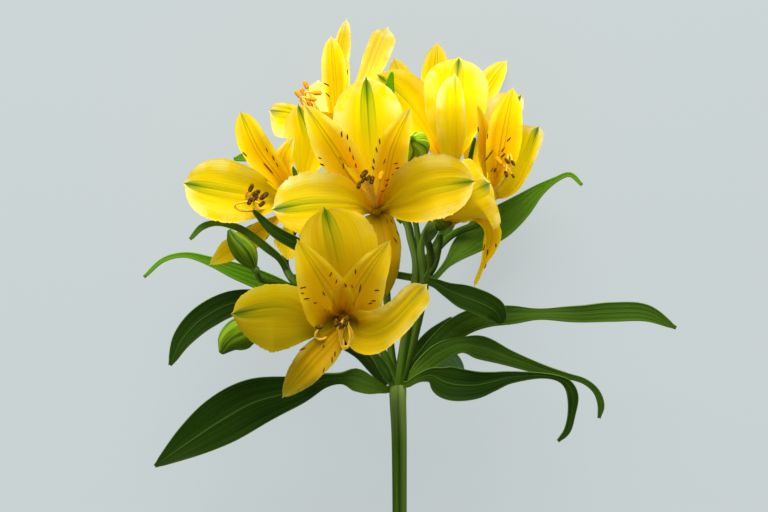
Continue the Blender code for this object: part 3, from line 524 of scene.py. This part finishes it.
def leaf_grid(rows, middles):
    """Points of a leaf's front face from the nearest stem, with its parallel ribs raised and its margin waved."""
    steps, across = LEAF_GRID
    points = np.array([np.append(place(*row[:3]), row[3:]) for row in rows])
    nearest = middles[np.argmin(np.linalg.norm(middles - points[0, :3], axis=1))]
    points = np.concatenate([[np.append(nearest, points[0, 3:])], points])
    curve = evenly(points, steps + 1)
    u = np.linspace(0, 1, steps + 1)[:, None]
    rounded = np.sqrt(np.clip((1.02 - u[:, 0]) / 0.04, 0, 1)) * np.clip((1.004 - u[:, 0]) / 0.02, 0, 1)
    half_widths = curve[:, 3] / 2 * rounded
    grid = blade_grid(curve[:, :3], half_widths, curve[:, 4], np.full(steps + 1, 14.0), 0.0, across)
    v = np.linspace(-1, 1, across + 1)
    height = 0.1 * np.cos(v * 12.6) * np.clip(curve[:, 3:4] / 6, 0, 1)
    height = height + 0.35 * v**2 * np.sin(u * 23 + 1.3 * np.sign(v)) * np.clip(curve[:, 3:4] / 12, 0, 1)
    return grid + normals_of(grid) * height[..., None]


def sheet_faces(rows, columns, start=0):
    faces = []
    for row in range(rows - 1):
        for column in range(columns - 1):
            a = start + row * columns + column
            faces.append((a, a + 1, a + columns + 1, a + columns))
    return faces


class Piece:
    """Points, faces and the two numbers of each point that the materials read, gathered for one object."""

    def __init__(self):
        self.points, self.faces, self.spots, self.slots = [], [], [], []
        self.tones = dict(throat=[], green=[], depth=[], pale_and_lit=[])

    def add(self, points, faces, spots, slot=0):
        start = len(self.points)
        self.points += [tuple(point) for point in points]
        self.spots += [tuple(spot) for spot in spots]
        self.faces += [tuple(start + k for k in face) for face in faces]
        self.slots += [slot] * len(faces)

    def tone(self, **values):
        """Gives the points added since the last call their numbers, one for all or one for each."""
        for name, value in values.items():
            count = len(self.points) - len(self.tones[name])
            self.tones[name] += list(np.broadcast_to(np.ravel(value), count))

    def add_sheet(self, grid, slot=0):
        rows, columns = grid.shape[:2]
        spots = [(column / (columns - 1), row / (rows - 1)) for row in range(rows) for column in range(columns)]
        self.add(grid.reshape(-1, 3), sheet_faces(rows, columns), spots, slot)

    def add_blade(self, grid, thickness, front_slot, back_slot):
        """A closed blade: its front, its back and the rim between them."""
        rows, columns = grid.shape[:2]
        back = grid - normals_of(grid) * thickness
        self.add_sheet(grid, front_slot)
        self.add_sheet(back[:, ::-1], back_slot)
        loop = [(0, column) for column in range(columns)]
        loop += [(row, columns - 1) for row in range(1, rows)]
        loop += [(rows - 1, column) for column in range(columns - 2, -1, -1)]
        loop += [(row, 0) for row in range(rows - 2, 0, -1)]
        points = [grid[spot] for spot in loop] + [back[spot] for spot in loop]
        spots = [(column / (columns - 1), row / (rows - 1)) for row, column in loop] * 2
        count = len(loop)
        faces = [(k, k + count, (k + 1) % count + count, (k + 1) % count) for k in range(count)]
        self.add(points, faces, spots, front_slot)

    def add_tube(self, points, diameters, sides, ribs=0, rib_height=0.0, slot=0):
        """A closed tube, whose section may have ribs. It gives back which way each of its points looks."""
        points = np.asarray(points, float)
        forward = unit(np.gradient(points, axis=0))
        side = unit(np.cross(forward[0], [0.31, 0.22, 0.92]))
        turn = 2 * math.pi * np.arange(sides) / sides
        swell = 1 + rib_height * np.cos(ribs * turn)
        rings, spots, looks = [], [], []
        for index, (point, direction, diameter) in enumerate(zip(points, forward, diameters)):
            side = unit(side - direction * np.dot(side, direction))
            other = np.cross(direction, side)
            circle = (np.cos(turn) * swell)[:, None] * side + (np.sin(turn) * swell)[:, None] * other
            rings += list(point + circle * diameter / 2)
            looks.append(circle)
            spots += [(k / sides, index / (len(points) - 1)) for k in range(sides)]
        last = (len(points) - 1) * sides
        faces = [tuple(range(sides - 1, -1, -1)), tuple(range(last, last + sides))]
        for ring in range(len(points) - 1):
            for k in range(sides):
                a, b = ring * sides + k, ring * sides + (k + 1) % sides
                faces.append((a, b, b + sides, a + sides))
        self.add(rings, faces, spots, slot)
        return np.array(looks)

    def make(self, name, materials, slot_name):
        mesh = bpy.data.meshes.new(name)
        mesh.from_pydata((np.array(self.points) / 1000).tolist(), [], self.faces)
        layer = mesh.uv_layers.new(name="blade")
        corners = np.zeros(len(mesh.loops), np.int32)
        mesh.loops.foreach_get("vertex_index", corners)
        layer.data.foreach_set("uv", np.array(self.spots)[corners].astype(np.float32).ravel())
        for tone, values in self.tones.items():
            if values:
                mesh.attributes.new(tone, "FLOAT", "POINT").data.foreach_set("value", values)
        for material in materials:
            mesh.materials.append(material)
        mesh.polygons.foreach_set("material_index", self.slots)
        mesh.polygons.foreach_set("use_smooth", [True] * len(self.slots))
        made = bpy.data.objects.new(name, mesh)
        bpy.context.scene.collection.objects.link(made)
        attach(made, "root")
        return made


class Look:
    """A material's nodes, made one by one."""

    def __init__(self, name):
        self.material = bpy.data.materials.new(name)
        self.material.use_nodes = True
        self.tree = self.material.node_tree
        self.shader = self.tree.nodes["Principled BSDF"]
        self.output = self.tree.nodes["Material Output"]
        spot = self.node("ShaderNodeUVMap")
        spot.uv_map = "blade"
        parts = self.node("ShaderNodeSeparateXYZ")
        self.link(spot.outputs[0], parts.inputs[0])
        self.across = parts.outputs[0]
        self.length = parts.outputs[1]
        self.off_centre = self.math("ABSOLUTE", self.math("MULTIPLY_ADD", self.across, 2.0, -1.0))

    def node(self, kind):
        return self.tree.nodes.new(kind)

    def tone(self, name):
        """The number that a piece's points carry under that name."""
        node = self.node("ShaderNodeAttribute")
        node.attribute_name = name
        return node.outputs["Fac"]

    def link(self, source, target):
        self.tree.links.new(source, target)

    def put(self, value, target):
        if isinstance(value, bpy.types.NodeSocket):
            self.link(value, target)
        else:
            target.default_value = value

    def math(self, operation, *values):
        node = self.node("ShaderNodeMath")
        node.operation = operation
        for value, target in zip(values, node.inputs):
            self.put(value, target)
        return node.outputs[0]

    def rise(self, value, low, high):
        """0 below low and 1 above high, with a smooth step between them, and the other way round if low is higher."""
        node = self.node("ShaderNodeMapRange")
        node.interpolation_type = "SMOOTHSTEP"
        self.put(value, node.inputs["Value"])
        falls = low > high
        node.inputs["From Min"].default_value = min(low, high)
        node.inputs["From Max"].default_value = max(low, high)
        node.inputs["To Min"].default_value = 1.0 if falls else 0.0
        node.inputs["To Max"].default_value = 0.0 if falls else 1.0
        return node.outputs[0]

    def band(self, value, middle, width):
        """1 at the middle of a band and 0 outside it."""
        return self.rise(self.math("ABSOLUTE", self.math("SUBTRACT", value, middle)), width, width * 0.3)

    def times(self, *values):
        product = values[0]
        for value in values[1:]:
            product = self.math("MULTIPLY", product, value)
        return product

    def blend(self, factor, first, second):
        node = self.node("ShaderNodeMix")
        node.data_type = "RGBA"
        self.put(factor, node.inputs[0])
        self.put(first if isinstance(first, bpy.types.NodeSocket) else (*first, 1), node.inputs[6])
        self.put(second if isinstance(second, bpy.types.NodeSocket) else (*second, 1), node.inputs[7])
        return node.outputs[2]

    def streaks(self, count, stretch, detail=2.0):
        """Noise drawn out along the blade, about count streaks across it."""
        spread = self.node("ShaderNodeCombineXYZ")
        self.put(self.math("MULTIPLY", self.across, count), spread.inputs[0])
        self.put(self.math("MULTIPLY", self.length, stretch), spread.inputs[1])
        noise = self.node("ShaderNodeTexNoise")
        noise.inputs["Scale"].default_value = 1.0
        noise.inputs["Detail"].default_value = detail
        self.link(spread.outputs[0], noise.inputs["Vector"])
        return noise.outputs["Fac"]

    def grain(self, scale):
        """Fine noise in the object's own space."""
        place_node = self.node("ShaderNodeTexCoord")
        noise = self.node("ShaderNodeTexNoise")
        noise.inputs["Scale"].default_value = scale
        noise.inputs["Detail"].default_value = 3.0
        self.link(place_node.outputs["Object"], noise.inputs["Vector"])
        return noise.outputs["Fac"]

    def bump(self, height, distance, strength=0.6):
        node = self.node("ShaderNodeBump")
        node.inputs["Strength"].default_value = strength
        node.inputs["Distance"].default_value = distance
        self.put(height, node.inputs["Height"])
        self.link(node.outputs[0], self.shader.inputs["Normal"])

    def finish(self, colour, roughness, translucent=0.0, glow=None):
        self.put(colour if isinstance(colour, bpy.types.NodeSocket) else (*colour, 1), self.shader.inputs["Base Color"])
        self.shader.inputs["Roughness"].default_value = roughness
        self.shader.inputs["Specular IOR Level"].default_value = 0.03
        if translucent:
            through = self.node("ShaderNodeBsdfTranslucent")
            mixed = self.node("ShaderNodeMixShader")
            mixed.inputs[0].default_value = translucent
            passed = glow if glow is not None else colour
            self.put(passed if isinstance(passed, bpy.types.NodeSocket) else (*passed, 1), through.inputs["Color"])
            self.link(self.shader.outputs[0], mixed.inputs[1])
            self.link(through.outputs[0], mixed.inputs[2])
            self.link(mixed.outputs[0], self.output.inputs["Surface"])
        return self.material


YELLOW = (0.97, 0.73, 0.001)
DEEP_YELLOW = (0.9, 0.51, 0.001)
ORANGE = (0.85, 0.34, 0.0)
FLUSH_ORANGE = (0.93, 0.42, 0.0)
SHADED_ORANGE = (0.5, 0.25, 0.001)
# The yellows in painted shade, for the body and for its streaks
SHADED_YELLOW = (0.66, 0.44, 0.003)
SHADED_DEEP_YELLOW = (0.52, 0.31, 0.002)
# Olive: a tepal's deepest painted shade, and also the inner tepals' own lines
OLIVE = (0.32, 0.23, 0.002)
PALE_EDGE = (0.98, 0.9, 0.36)
PETAL_GREEN = (0.3, 0.44, 0.003)
SHADED_GREEN = (0.27, 0.28, 0.002)
VEIN_GREEN = (0.13, 0.19, 0.002)
TIP_GREEN = (0.035, 0.14, 0.002)
FLECK_MAROON = (0.12, 0.014, 0.002)
ANTHER_BROWN = (0.035, 0.014, 0.002)
ANTHER_ORANGE = (0.6, 0.22, 0.004)
FILAMENT_YELLOW = (0.85, 0.52, 0.02)
# Leaf greens: each leaf is mixed from the dark ones towards the light ones by its painted light, and beyond that
# towards the bright one; the light vein green also paints each leaf's paler foot
LEAF_DARK = (0.004, 0.015, 0.0004)
LEAF_DARK_VEIN = (0.014, 0.04, 0.001)
LEAF_LIT = (0.05, 0.12, 0.008)
LEAF_LIGHT_VEIN = (0.12, 0.23, 0.014)
LEAF_BRIGHT = (0.15, 0.4, 0.004)
LEAF_RIM = (0.16, 0.27, 0.05)
LEAF_UNDER = (0.1, 0.2, 0.065)
LEAF_UNDER_VEIN = (0.15, 0.27, 0.09)
STEM_GREEN = (0.02, 0.05, 0.001)
STEM_LIGHT = (0.06, 0.12, 0.006)
# Stem greens: the pale one paints the highlight on lit sides and the paler parts near the whorl and on the ovaries; the
# dark one paints shade
STEM_PALE_AND_LIT = (0.19, 0.26, 0.06)
STEM_PAINTED_SHADE = (0.01, 0.025, 0.0005)
# Bud greens: the dark one is the bud in painted shade, the light one the bud's ribs in painted light
BUD_SHADED = (0.02, 0.045, 0.001)
BUD_GREEN = (0.1, 0.17, 0.003)
BUD_LIGHT = (0.55, 0.85, 0.03)
FLOOR_GREY = (0.06, 0.066, 0.067)
FLOOR_GLOW = (0.473, 0.521, 0.524)


def petal_base(look):
    """Yellow with fine lengthwise veins, deeper towards the throat, turned gold and olive by each tepal's painted
    shade.
    """
    veins = look.streaks(44.0, 1.5)
    wide = look.streaks(8.0, 1.6)
    # This tone is each tepal's painted shade: it turns the yellow gold, strengthens the streaks and past 1 turns the
    # colour olive
    depth = look.tone("depth")
    strength = look.math("MULTIPLY_ADD", depth, 0.5, 0.5)
    shaded_body = look.blend(depth, YELLOW, SHADED_YELLOW)
    deep = look.blend(depth, DEEP_YELLOW, SHADED_DEEP_YELLOW)
    colour = look.blend(look.times(look.rise(veins, 0.4, 0.7), strength, 0.4), shaded_body, deep)
    colour = look.blend(look.times(look.rise(wide, 0.45, 0.75), strength, 0.55), colour, deep)
    colour = look.blend(look.rise(depth, 1.0, 2.0), colour, OLIVE)
    # The throat's orange turns olive with the tepal's painted shade
    throat = look.blend(depth, ORANGE, OLIVE)
    colour = look.blend(look.times(look.rise(look.length, 0.4, 0.08), look.tone("throat")), colour, throat)
    look.bump(look.math("ADD", look.times(veins, 0.8), look.times(look.grain(2600.0), 0.3)), 0.0003)
    return colour


def with_pale_margin(look, colour):
    """Nearly white at the margin and the end, in uneven patches: partly the tepal's own paler colour and partly a
    painted glow of backlight.
    """
    patches = look.rise(look.grain(140.0), 0.35, 0.6)
    edge = look.times(look.rise(look.off_centre, 0.4, 1.0), look.rise(look.length, 0.4, 0.95))
    rim = look.times(look.rise(look.off_centre, 0.93, 1.0), look.rise(look.length, 0.35, 0.6), 0.5)
    end = look.rise(look.length, 0.86, 1.0)
    tip = look.rise(look.length, 0.95, 0.99)
    pale_and_glow = look.math("MAXIMUM", look.times(look.math("MAXIMUM", edge, end), patches), look.math("MAXIMUM", rim, tip))
    pale_and_lit = look.tone("pale_and_lit")
    all_over = look.times(look.rise(pale_and_lit, 1.0, 2.0), look.rise(look.length, 0.3, 0.7))
    return look.blend(look.math("MAXIMUM", look.times(pale_and_glow, pale_and_lit), all_over), colour, PALE_EDGE)


def outer_petal_look():
    look = Look("petal_outer")
    colour = with_pale_margin(look, petal_base(look))
    green = look.tone("green")
    uneven = look.rise(look.streaks(16.0, 1.2), 0.1, 0.5)
    reach = look.rise(look.length, 0.42, 0.97)
    wash = look.times(look.rise(look.off_centre, 0.34, 0.1), reach, uneven, green)
    colour = look.blend(look.times(wash, 0.8), colour, look.blend(look.tone("depth"), PETAL_GREEN, SHADED_GREEN))
    side_lines = look.times(look.band(look.off_centre, 0.2, 0.04), look.rise(look.length, 0.5, 0.9), 0.5)
    middle_line = look.times(look.rise(look.off_centre, 0.055, 0.0), 0.85)
    lines = look.times(look.math("MAXIMUM", side_lines, middle_line), reach, uneven, green)
    colour = look.blend(lines, colour, VEIN_GREEN)
    near_tip = look.rise(look.math("SUBTRACT", look.length, look.times(look.off_centre, 0.6)), 0.76, 0.96)
    colour = look.blend(look.times(near_tip, look.rise(green, 0.0, 0.6), 0.9), colour, TIP_GREEN)
    return look.finish(colour, 0.5, 0.35)


def inner_petal_look():
    look = Look("petal_inner")
    colour = petal_base(look)
    flush = look.times(look.rise(look.off_centre, 1.0, 0.5), look.band(look.length, 0.45, 0.55), 0.7)
    warm = look.blend(look.tone("depth"), FLUSH_ORANGE, SHADED_ORANGE)
    colour = with_pale_margin(look, look.blend(flush, colour, warm))
    lines = look.times(look.band(look.off_centre, 0.11, 0.06), look.rise(look.length, 0.15, 0.5), 0.5)
    colour = look.blend(lines, colour, OLIVE)
    tip = look.times(look.rise(look.length, 0.8, 1.0), look.rise(look.off_centre, 0.4, 0.0), look.tone("green"))
    colour = look.blend(tip, colour, VEIN_GREEN)
    return look.finish(colour, 0.5, 0.35)


def leaf_look(name, dark, dark_vein, light, light_vein, roughness):
    """Fine parallel veins, some of them paler, and a thin pale rim, with each leaf's painted light laid along it."""
    look = Look(name)
    # The leaf's painted light, which mixes its greens from dark to light
    painted_light = look.tone("pale_and_lit")
    ground = look.blend(painted_light, dark, light)
    paler = look.blend(painted_light, dark_vein, light_vein)
    veins = look.streaks(60.0, 1.2)
    wide = look.streaks(9.0, 1.6)
    colour = look.blend(look.rise(veins, 0.35, 0.75), ground, paler)
    colour = look.blend(look.times(look.rise(wide, 0.45, 0.8), 0.6), colour, paler)
    ribs = look.rise(look.math("COSINE", look.times(look.across, 8 * 2 * math.pi)), 0.8, 1.0)
    colour = look.blend(look.times(ribs, 0.35), colour, paler)
    colour = look.blend(look.times(look.rise(look.off_centre, 0.06, 0.0), 0.25), colour, LEAF_RIM)
    colour = look.blend(look.times(look.rise(look.off_centre, 0.97, 1.0), 0.35), colour, LEAF_RIM)
    colour = look.blend(look.times(look.rise(look.length, 0.16, 0.0), 0.4), colour, LEAF_LIGHT_VEIN)
    # Beyond 1 the painted light turns the leaf bright green
    colour = look.blend(look.rise(painted_light, 1.0, 2.0), colour, LEAF_BRIGHT)
    look.bump(look.math("ADD", look.times(veins, 0.8), look.times(look.grain(1800.0), 0.3)), 0.0004)
    return look.finish(colour, roughness, 0.18)


def plain_look(name, deep, light, scale, roughness, translucent=0.0):
    """Two shades mottled by fine noise."""
    look = Look(name)
    grain = look.grain(scale)
    look.bump(grain, 0.0003)
    return look.finish(look.blend(look.rise(grain, 0.35, 0.7), deep, light), roughness, translucent)


def stem_look():
    """Green with soft streaks, with painted shade in its groove and on the rays' shaded sides and feet, paler near the
    whorl and with a painted highlight on its lit side.
    """
    look = Look("stem")
    streaks = look.streaks(12.0, 3.0)
    fine = look.streaks(40.0, 9.0)
    colour = look.blend(look.rise(streaks, 0.3, 0.7), STEM_GREEN, STEM_LIGHT)
    colour = look.blend(look.times(look.rise(fine, 0.4, 0.7), 0.3), colour, STEM_LIGHT)
    # The stem's painted highlight and paler parts, then its painted shade
    colour = look.blend(look.tone("pale_and_lit"), colour, STEM_PALE_AND_LIT)
    colour = look.blend(look.tone("depth"), colour, STEM_PAINTED_SHADE)
    look.bump(look.math("ADD", fine, look.times(look.grain(1500.0), 0.4)), 0.0003)
    return look.finish(colour, 0.45)


def bud_look():
    look = Look("bud")
    ribs = look.math("COSINE", look.times(look.across, 6 * 2 * math.pi))
    streaks = look.streaks(30.0, 1.5)
    # This tone is the bud's painted shade: it darkens the greens, and where it is none the ribs take the light green of
    # a lit bud
    depth = look.tone("depth")
    green = look.blend(depth, BUD_GREEN, BUD_SHADED)
    light = look.blend(depth, BUD_LIGHT, BUD_GREEN)
    colour = look.blend(look.rise(streaks, 0.35, 0.75), green, light)
    colour = look.blend(look.times(look.rise(ribs, -0.2, 1.0), 0.55), colour, light)
    colour = look.blend(look.rise(look.length, 0.9, 1.0), colour, TIP_GREEN)
    look.bump(streaks, 0.0003)
    return look.finish(colour, 0.4, 0.15)


def all_looks():
    return dict(
        outer=outer_petal_look(),
        inner=inner_petal_look(),
        fleck=plain_look("fleck", FLECK_MAROON, (0.16, 0.02, 0.002), 900.0, 0.6),
        brown=plain_look("anther_brown", ANTHER_BROWN, (0.16, 0.085, 0.009), 1500.0, 0.8),
        throat=plain_look("throat", (0.7, 0.47, 0.006), (0.85, 0.6, 0.02), 500.0, 0.6),
        throat_dark=plain_look("throat_dark", (0.03, 0.055, 0.002), (0.08, 0.11, 0.004), 500.0, 0.6),
        orange=plain_look("anther_orange", ANTHER_ORANGE, (0.75, 0.38, 0.01), 1500.0, 0.8),
        filament=plain_look("filament", FILAMENT_YELLOW, (0.9, 0.62, 0.08), 700.0, 0.5, 0.25),
        leaf=leaf_look("leaf", LEAF_DARK, LEAF_DARK_VEIN, LEAF_LIT, LEAF_LIGHT_VEIN, 0.42),
        under=leaf_look("leaf_under", LEAF_UNDER, LEAF_UNDER_VEIN, LEAF_UNDER, LEAF_UNDER_VEIN, 0.6),
        stem=stem_look(),
        bud=bud_look(),
    )


def in_picture(angle):
    """The direction that the camera sees at that angle from the right, in degrees."""
    return np.array([math.cos(math.radians(angle)), math.sin(math.radians(angle)), 0.0])


def fleck(piece, grid, pixel_x, pixel_y, angle=None, long=FLECK_LENGTH):
    """A small dark streak on a tepal, at the point of it that the camera sees nearest to the pixel."""
    inner = grid[2:-2, 1:-1]
    misses = np.linalg.norm(pixel_of(inner) - (pixel_x, pixel_y), axis=-1)
    row, column = np.unravel_index(np.argmin(misses), misses.shape)
    row, column = row + 2, column + 1
    centre = grid[row, column]
    forward = unit(grid[row + 2, column] - grid[row - 2, column])
    normal = normals_of(grid)[row, column]
    if angle is not None:
        forward = outwards(normal, in_picture(angle))
    side = np.cross(forward, normal)
    turn = np.linspace(0, 2 * math.pi, 13)[:-1]
    rim = centre + normal * 0.02
    rim = rim + forward * (np.cos(turn) * long / 2)[:, None] + side * (np.sin(turn) * FLECK_WIDTH / 2)[:, None]
    points = np.concatenate([rim, [centre + normal * FLECK_LIFT]])
    faces = [(k, (k + 1) % 12, 12) for k in range(12)]
    piece.add(points, faces, [(0.5, 0.5)] * 13)


def stamen(piece, base, axis, anther, bends, angle, size, anther_slot):
    """A filament from the receptacle and its anther."""
    tip = place(*anther)
    start = base + axis * 3 + outwards(axis, tip - base) * 1.1
    middles = [place(*bend) for bend in bends]
    if not middles:
        middles.append(start + axis * 0.55 * np.linalg.norm(tip - start) + (tip - start) * 0.1)
    curve = evenly(np.array([start, *middles, tip]), 22)
    piece.add_tube(curve, np.linspace(1.15, 0.75, 22) * FILAMENT_DIAMETER, 10)
    direction = unit(curve[-1] - curve[-2]) if angle is None else in_picture(angle)
    shares = np.linspace(0, 1, 13)
    spots = tip + direction * (ANTHER_LENGTH * size * (shares - 0.5))[:, None]
    widths = ANTHER_DIAMETER * min(size, 1) * np.sqrt(np.clip(1 - (2 * shares - 1) ** 4, 0.04, 1))
    piece.add_tube(spots, widths, 12, 2, 0.14, anther_slot)


def bloom(name, parts, looks, seed):
    base = place(*parts["base"])
    axis = unit(np.array(parts["axis"]))
    petals, stamens, flecks = Piece(), Piece(), Piece()
    for index, tepal in enumerate(parts["tepals"]):
        green, depth, pale_and_lit, skew, ragged = TONES[name][index]
        grid = tepal_grid(base, axis, tepal, skew, ragged, seed * 10 + index)
        petals.add_sheet(grid, 0 if index < 3 else 1)
        # Painted light on one half of these tepals and more painted shade on the other, which loses some of its pale
        # margin; the depth tone is each tepal's painted shade
        lit = LIT_HALVES.get(name, {}).get(index, 0.0) * np.tile(np.linspace(-1, 1, TEPAL_GRID[1] + 1), TEPAL_GRID[0] + 1)
        petals.tone(throat=THROATS.get(name, 0.9), green=green, depth=np.clip(depth - lit, 0, 2), pale_and_lit=pale_and_lit * np.clip(1 + 2 * lit, 0, 1))
        for spot in FLECKS.get(name, {}).get(index, ()):
            fleck(flecks, grid, *spot)
    for index, anther in enumerate(parts["anthers"]):
        bends = FILAMENTS.get(name, {}).get(index, ())
        angle, size = ANTHER_LOOKS.get(name, {}).get(index, (None, 1.0))
        stamen(stamens, base, axis, anther, bends, angle, size, 2 if index in ORANGE_ANTHERS.get(name, ()) else 1)
    spots = [base + axis * step for step in (0.0, 1.0, 2.5, 4.5, 6.0)]
    widths = [share * RECEPTACLE_DIAMETER for share in (0.9, 1.05, 1.08, 1.0, 0.5)]
    stamens.add_tube(spots, widths, TUBE_SIDES, slot=3)
    made = petals.make(name + "_petals", [looks["outer"], looks["inner"]], "petal")
    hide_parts(name)
    throat = "throat_dark" if name == "bloom_lower_right" else "throat"
    stamens.make(name + "_stamens", [looks[kind] for kind in ("filament", "brown", "orange", throat)], "petal")
    if flecks.points:
        flecks.make(name + "_flecks", [looks["fleck"]], "petal")


def stem_middles():
    """Points down the middle of the stem and of every ray."""
    return np.concatenate([sampled(rows, 60)[:, :3] for rows in (MAIN_STEM, *RAYS.values())])


def leaf(name, rows, middles, looks):
    piece = Piece()
    piece.add_blade(leaf_grid(rows, middles), LEAF_THICKNESS, 0, 1)
    # Each leaf's painted light, from its foot to its tip
    piece.tone(pale_and_lit=np.interp(np.array(piece.spots)[:, 1], (0, 0.33, 1), LEAF_PAINTED_LIGHT[name]))
    sides = ("under", "leaf") if name == "leaf_grey_right" else ("leaf", "under")
    made = piece.make(name + "_blade", [looks[side] for side in sides], "leaf")
    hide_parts(name)


def bud(name, points, diameter, looks):
    piece = Piece()
    curve = evenly(np.array([place(*point) for point in points]), 40)
    shares = along((0.34, 0.8, 1.0, 0.9, 0.6, 0.16), np.linspace(0, 1, 40))
    circles = piece.add_tube(curve, shares * diameter, 48, 6, 0.05)
    dark, lit_right = BUD_TONES[name]
    # Painted shade over the bud, less of it on the bud's right side in the picture, where painted light falls
    piece.tone(depth=np.clip(dark - lit_right * circles[..., 0], 0, 1))
    made = piece.make(name + "_ribbed", [looks["bud"]], "bud")
    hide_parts(name)


def ovary(piece, name, rows):
    start = place(*rows[-1][:3])
    if name in BLOOMS:
        axis = unit(np.array(BLOOMS[name]["axis"]))
        end = place(*BLOOMS[name]["base"]) - axis * TOUCH_GAP
    else:
        points = evenly(np.array([place(*point) for point in BUDS[name][0]]), 9)
        axis = unit(points[1] - points[0])
        end = points[0] - axis * TOUCH_GAP
    share = 0.6 if name in BUDS else 1.0
    spots = evenly(np.array([start, (start + end - axis * 2) / 2, end - axis * 1.2, end]), 14)
    widths = along((rows[-1][3], OVARY_DIAMETER * 0.9, OVARY_DIAMETER, OVARY_DIAMETER * 0.9), np.linspace(0, 1, 14))
    piece.add_tube(spots, widths * share, 24, 6, 0.06)


def stem(looks):
    piece = Piece()
    curve = sampled(MAIN_STEM, 90)
    circles = piece.add_tube(curve[:, :3], curve[:, 3], 48, 4, 0.02)
    right, up = circles[..., 0], circles[..., 2]
    # Painted highlight down the stem's right side, paler near the whorl, and painted shade in its groove
    near_whorl = np.clip(1 - np.arange(90) / 14, 0, 1)[:, None]
    pale_and_lit = np.clip(right + 0.1, 0, 1) * 0.4 + near_whorl * 0.5
    groove = 0.8 * np.exp(-((right / 0.18) ** 2)) * (up > 0) * (1 - 0.5 * near_whorl)
    piece.tone(pale_and_lit=np.clip(pale_and_lit, 0, 1), depth=groove)
    for name, rows in RAYS.items():
        curve = sampled(rows, 60)
        circles = piece.add_tube(curve[:, :3], curve[:, 3], TUBE_SIDES, 3, 0.04)
        # Painted light on each ray's left side, growing towards its end, and painted shade on its right side and near
        # its foot
        far = np.linspace(0, 1, 60)[:, None]
        right = circles[..., 0]
        piece.tone(pale_and_lit=np.clip(-right, 0, 1) * (0.2 + 0.6 * far), depth=np.clip(0.35 * (1 - far) + right * 0.5, 0, 1))
        if name != "stub":
            ovary(piece, name, rows)
            piece.tone(pale_and_lit=0.15, depth=0.0)
    made = piece.make("stem_and_rays", [looks["stem"]], "stem")
    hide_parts("stem")


def camera():
    data = bpy.data.cameras.new("camera")
    data.sensor_width = 36.0
    data.lens = data.sensor_width * CAMERA_HEIGHT / (PICTURE_WIDTH * MM_PER_PIXEL)
    made = bpy.data.objects.new("camera", data)
    made.location = (np.array([0, 0, CAMERA_HEIGHT]) - ORIGIN) / 1000
    bpy.context.scene.collection.objects.link(made)
    bpy.context.scene.camera = made


def floor():
    mesh = bpy.data.meshes.new("floor")
    reach = 6.0
    corners = [(-reach, -reach, -0.0002), (reach, -reach, -0.0002), (reach, reach, -0.0002), (-reach, reach, -0.0002)]
    mesh.from_pydata(corners, [], [(0, 1, 2, 3)])
    material = bpy.data.materials.new("floor")
    material.use_nodes = True
    shader = material.node_tree.nodes["Principled BSDF"]
    shader.inputs["Base Color"].default_value = (*FLOOR_GREY, 1)
    shader.inputs["Roughness"].default_value = 0.9
    shader.inputs["Emission Color"].default_value = (*FLOOR_GLOW, 1)
    shader.inputs["Emission Strength"].default_value = 1.0
    mesh.materials.append(material)
    made = bpy.data.objects.new("floor", mesh)
    bpy.context.scene.collection.objects.link(made)


def area_light(name, place_at, towards, size, power, colour=(1, 1, 1)):
    data = bpy.data.lights.new(name, "AREA")
    data.shape = "DISK"
    data.size = size
    data.energy = power
    data.color = colour
    made = bpy.data.objects.new(name, data)
    made.location = place_at
    direction = np.array(towards) - np.array(place_at)
    made.rotation_mode = "QUATERNION"
    made.rotation_quaternion = Vector(direction).to_track_quat("-Z", "Y")
    bpy.context.scene.collection.objects.link(made)


def lights():
    area_light("key", (-0.1, 1.25, 0.85), (0, 0.06, 0.04), 1.3, 49.0, (1.0, 0.99, 0.96))
    area_light("fill", (-0.5, -0.6, 1.1), (0, 0, 0.05), 0.9, 3.0, (0.95, 0.98, 1.0))
    world = bpy.data.worlds.new("world")
    world.use_nodes = True
    world.node_tree.nodes["Background"].inputs["Color"].default_value = (0.86, 0.93, 0.97, 1)
    world.node_tree.nodes["Background"].inputs["Strength"].default_value = 0.45
    bpy.context.scene.world = world
    bpy.context.scene.view_settings.view_transform = "Standard"


def main():
    camera()
    floor()
    lights()
    looks = all_looks()
    stem(looks)
    for seed, (name, parts) in enumerate(BLOOMS.items()):
        bloom(name, parts, looks, seed)
    middles = stem_middles()
    for name, rows in LEAVES.items():
        leaf(name, rows, middles, looks)
    for name, (points, diameter) in BUDS.items():
        bud(name, points, diameter, looks)


main()
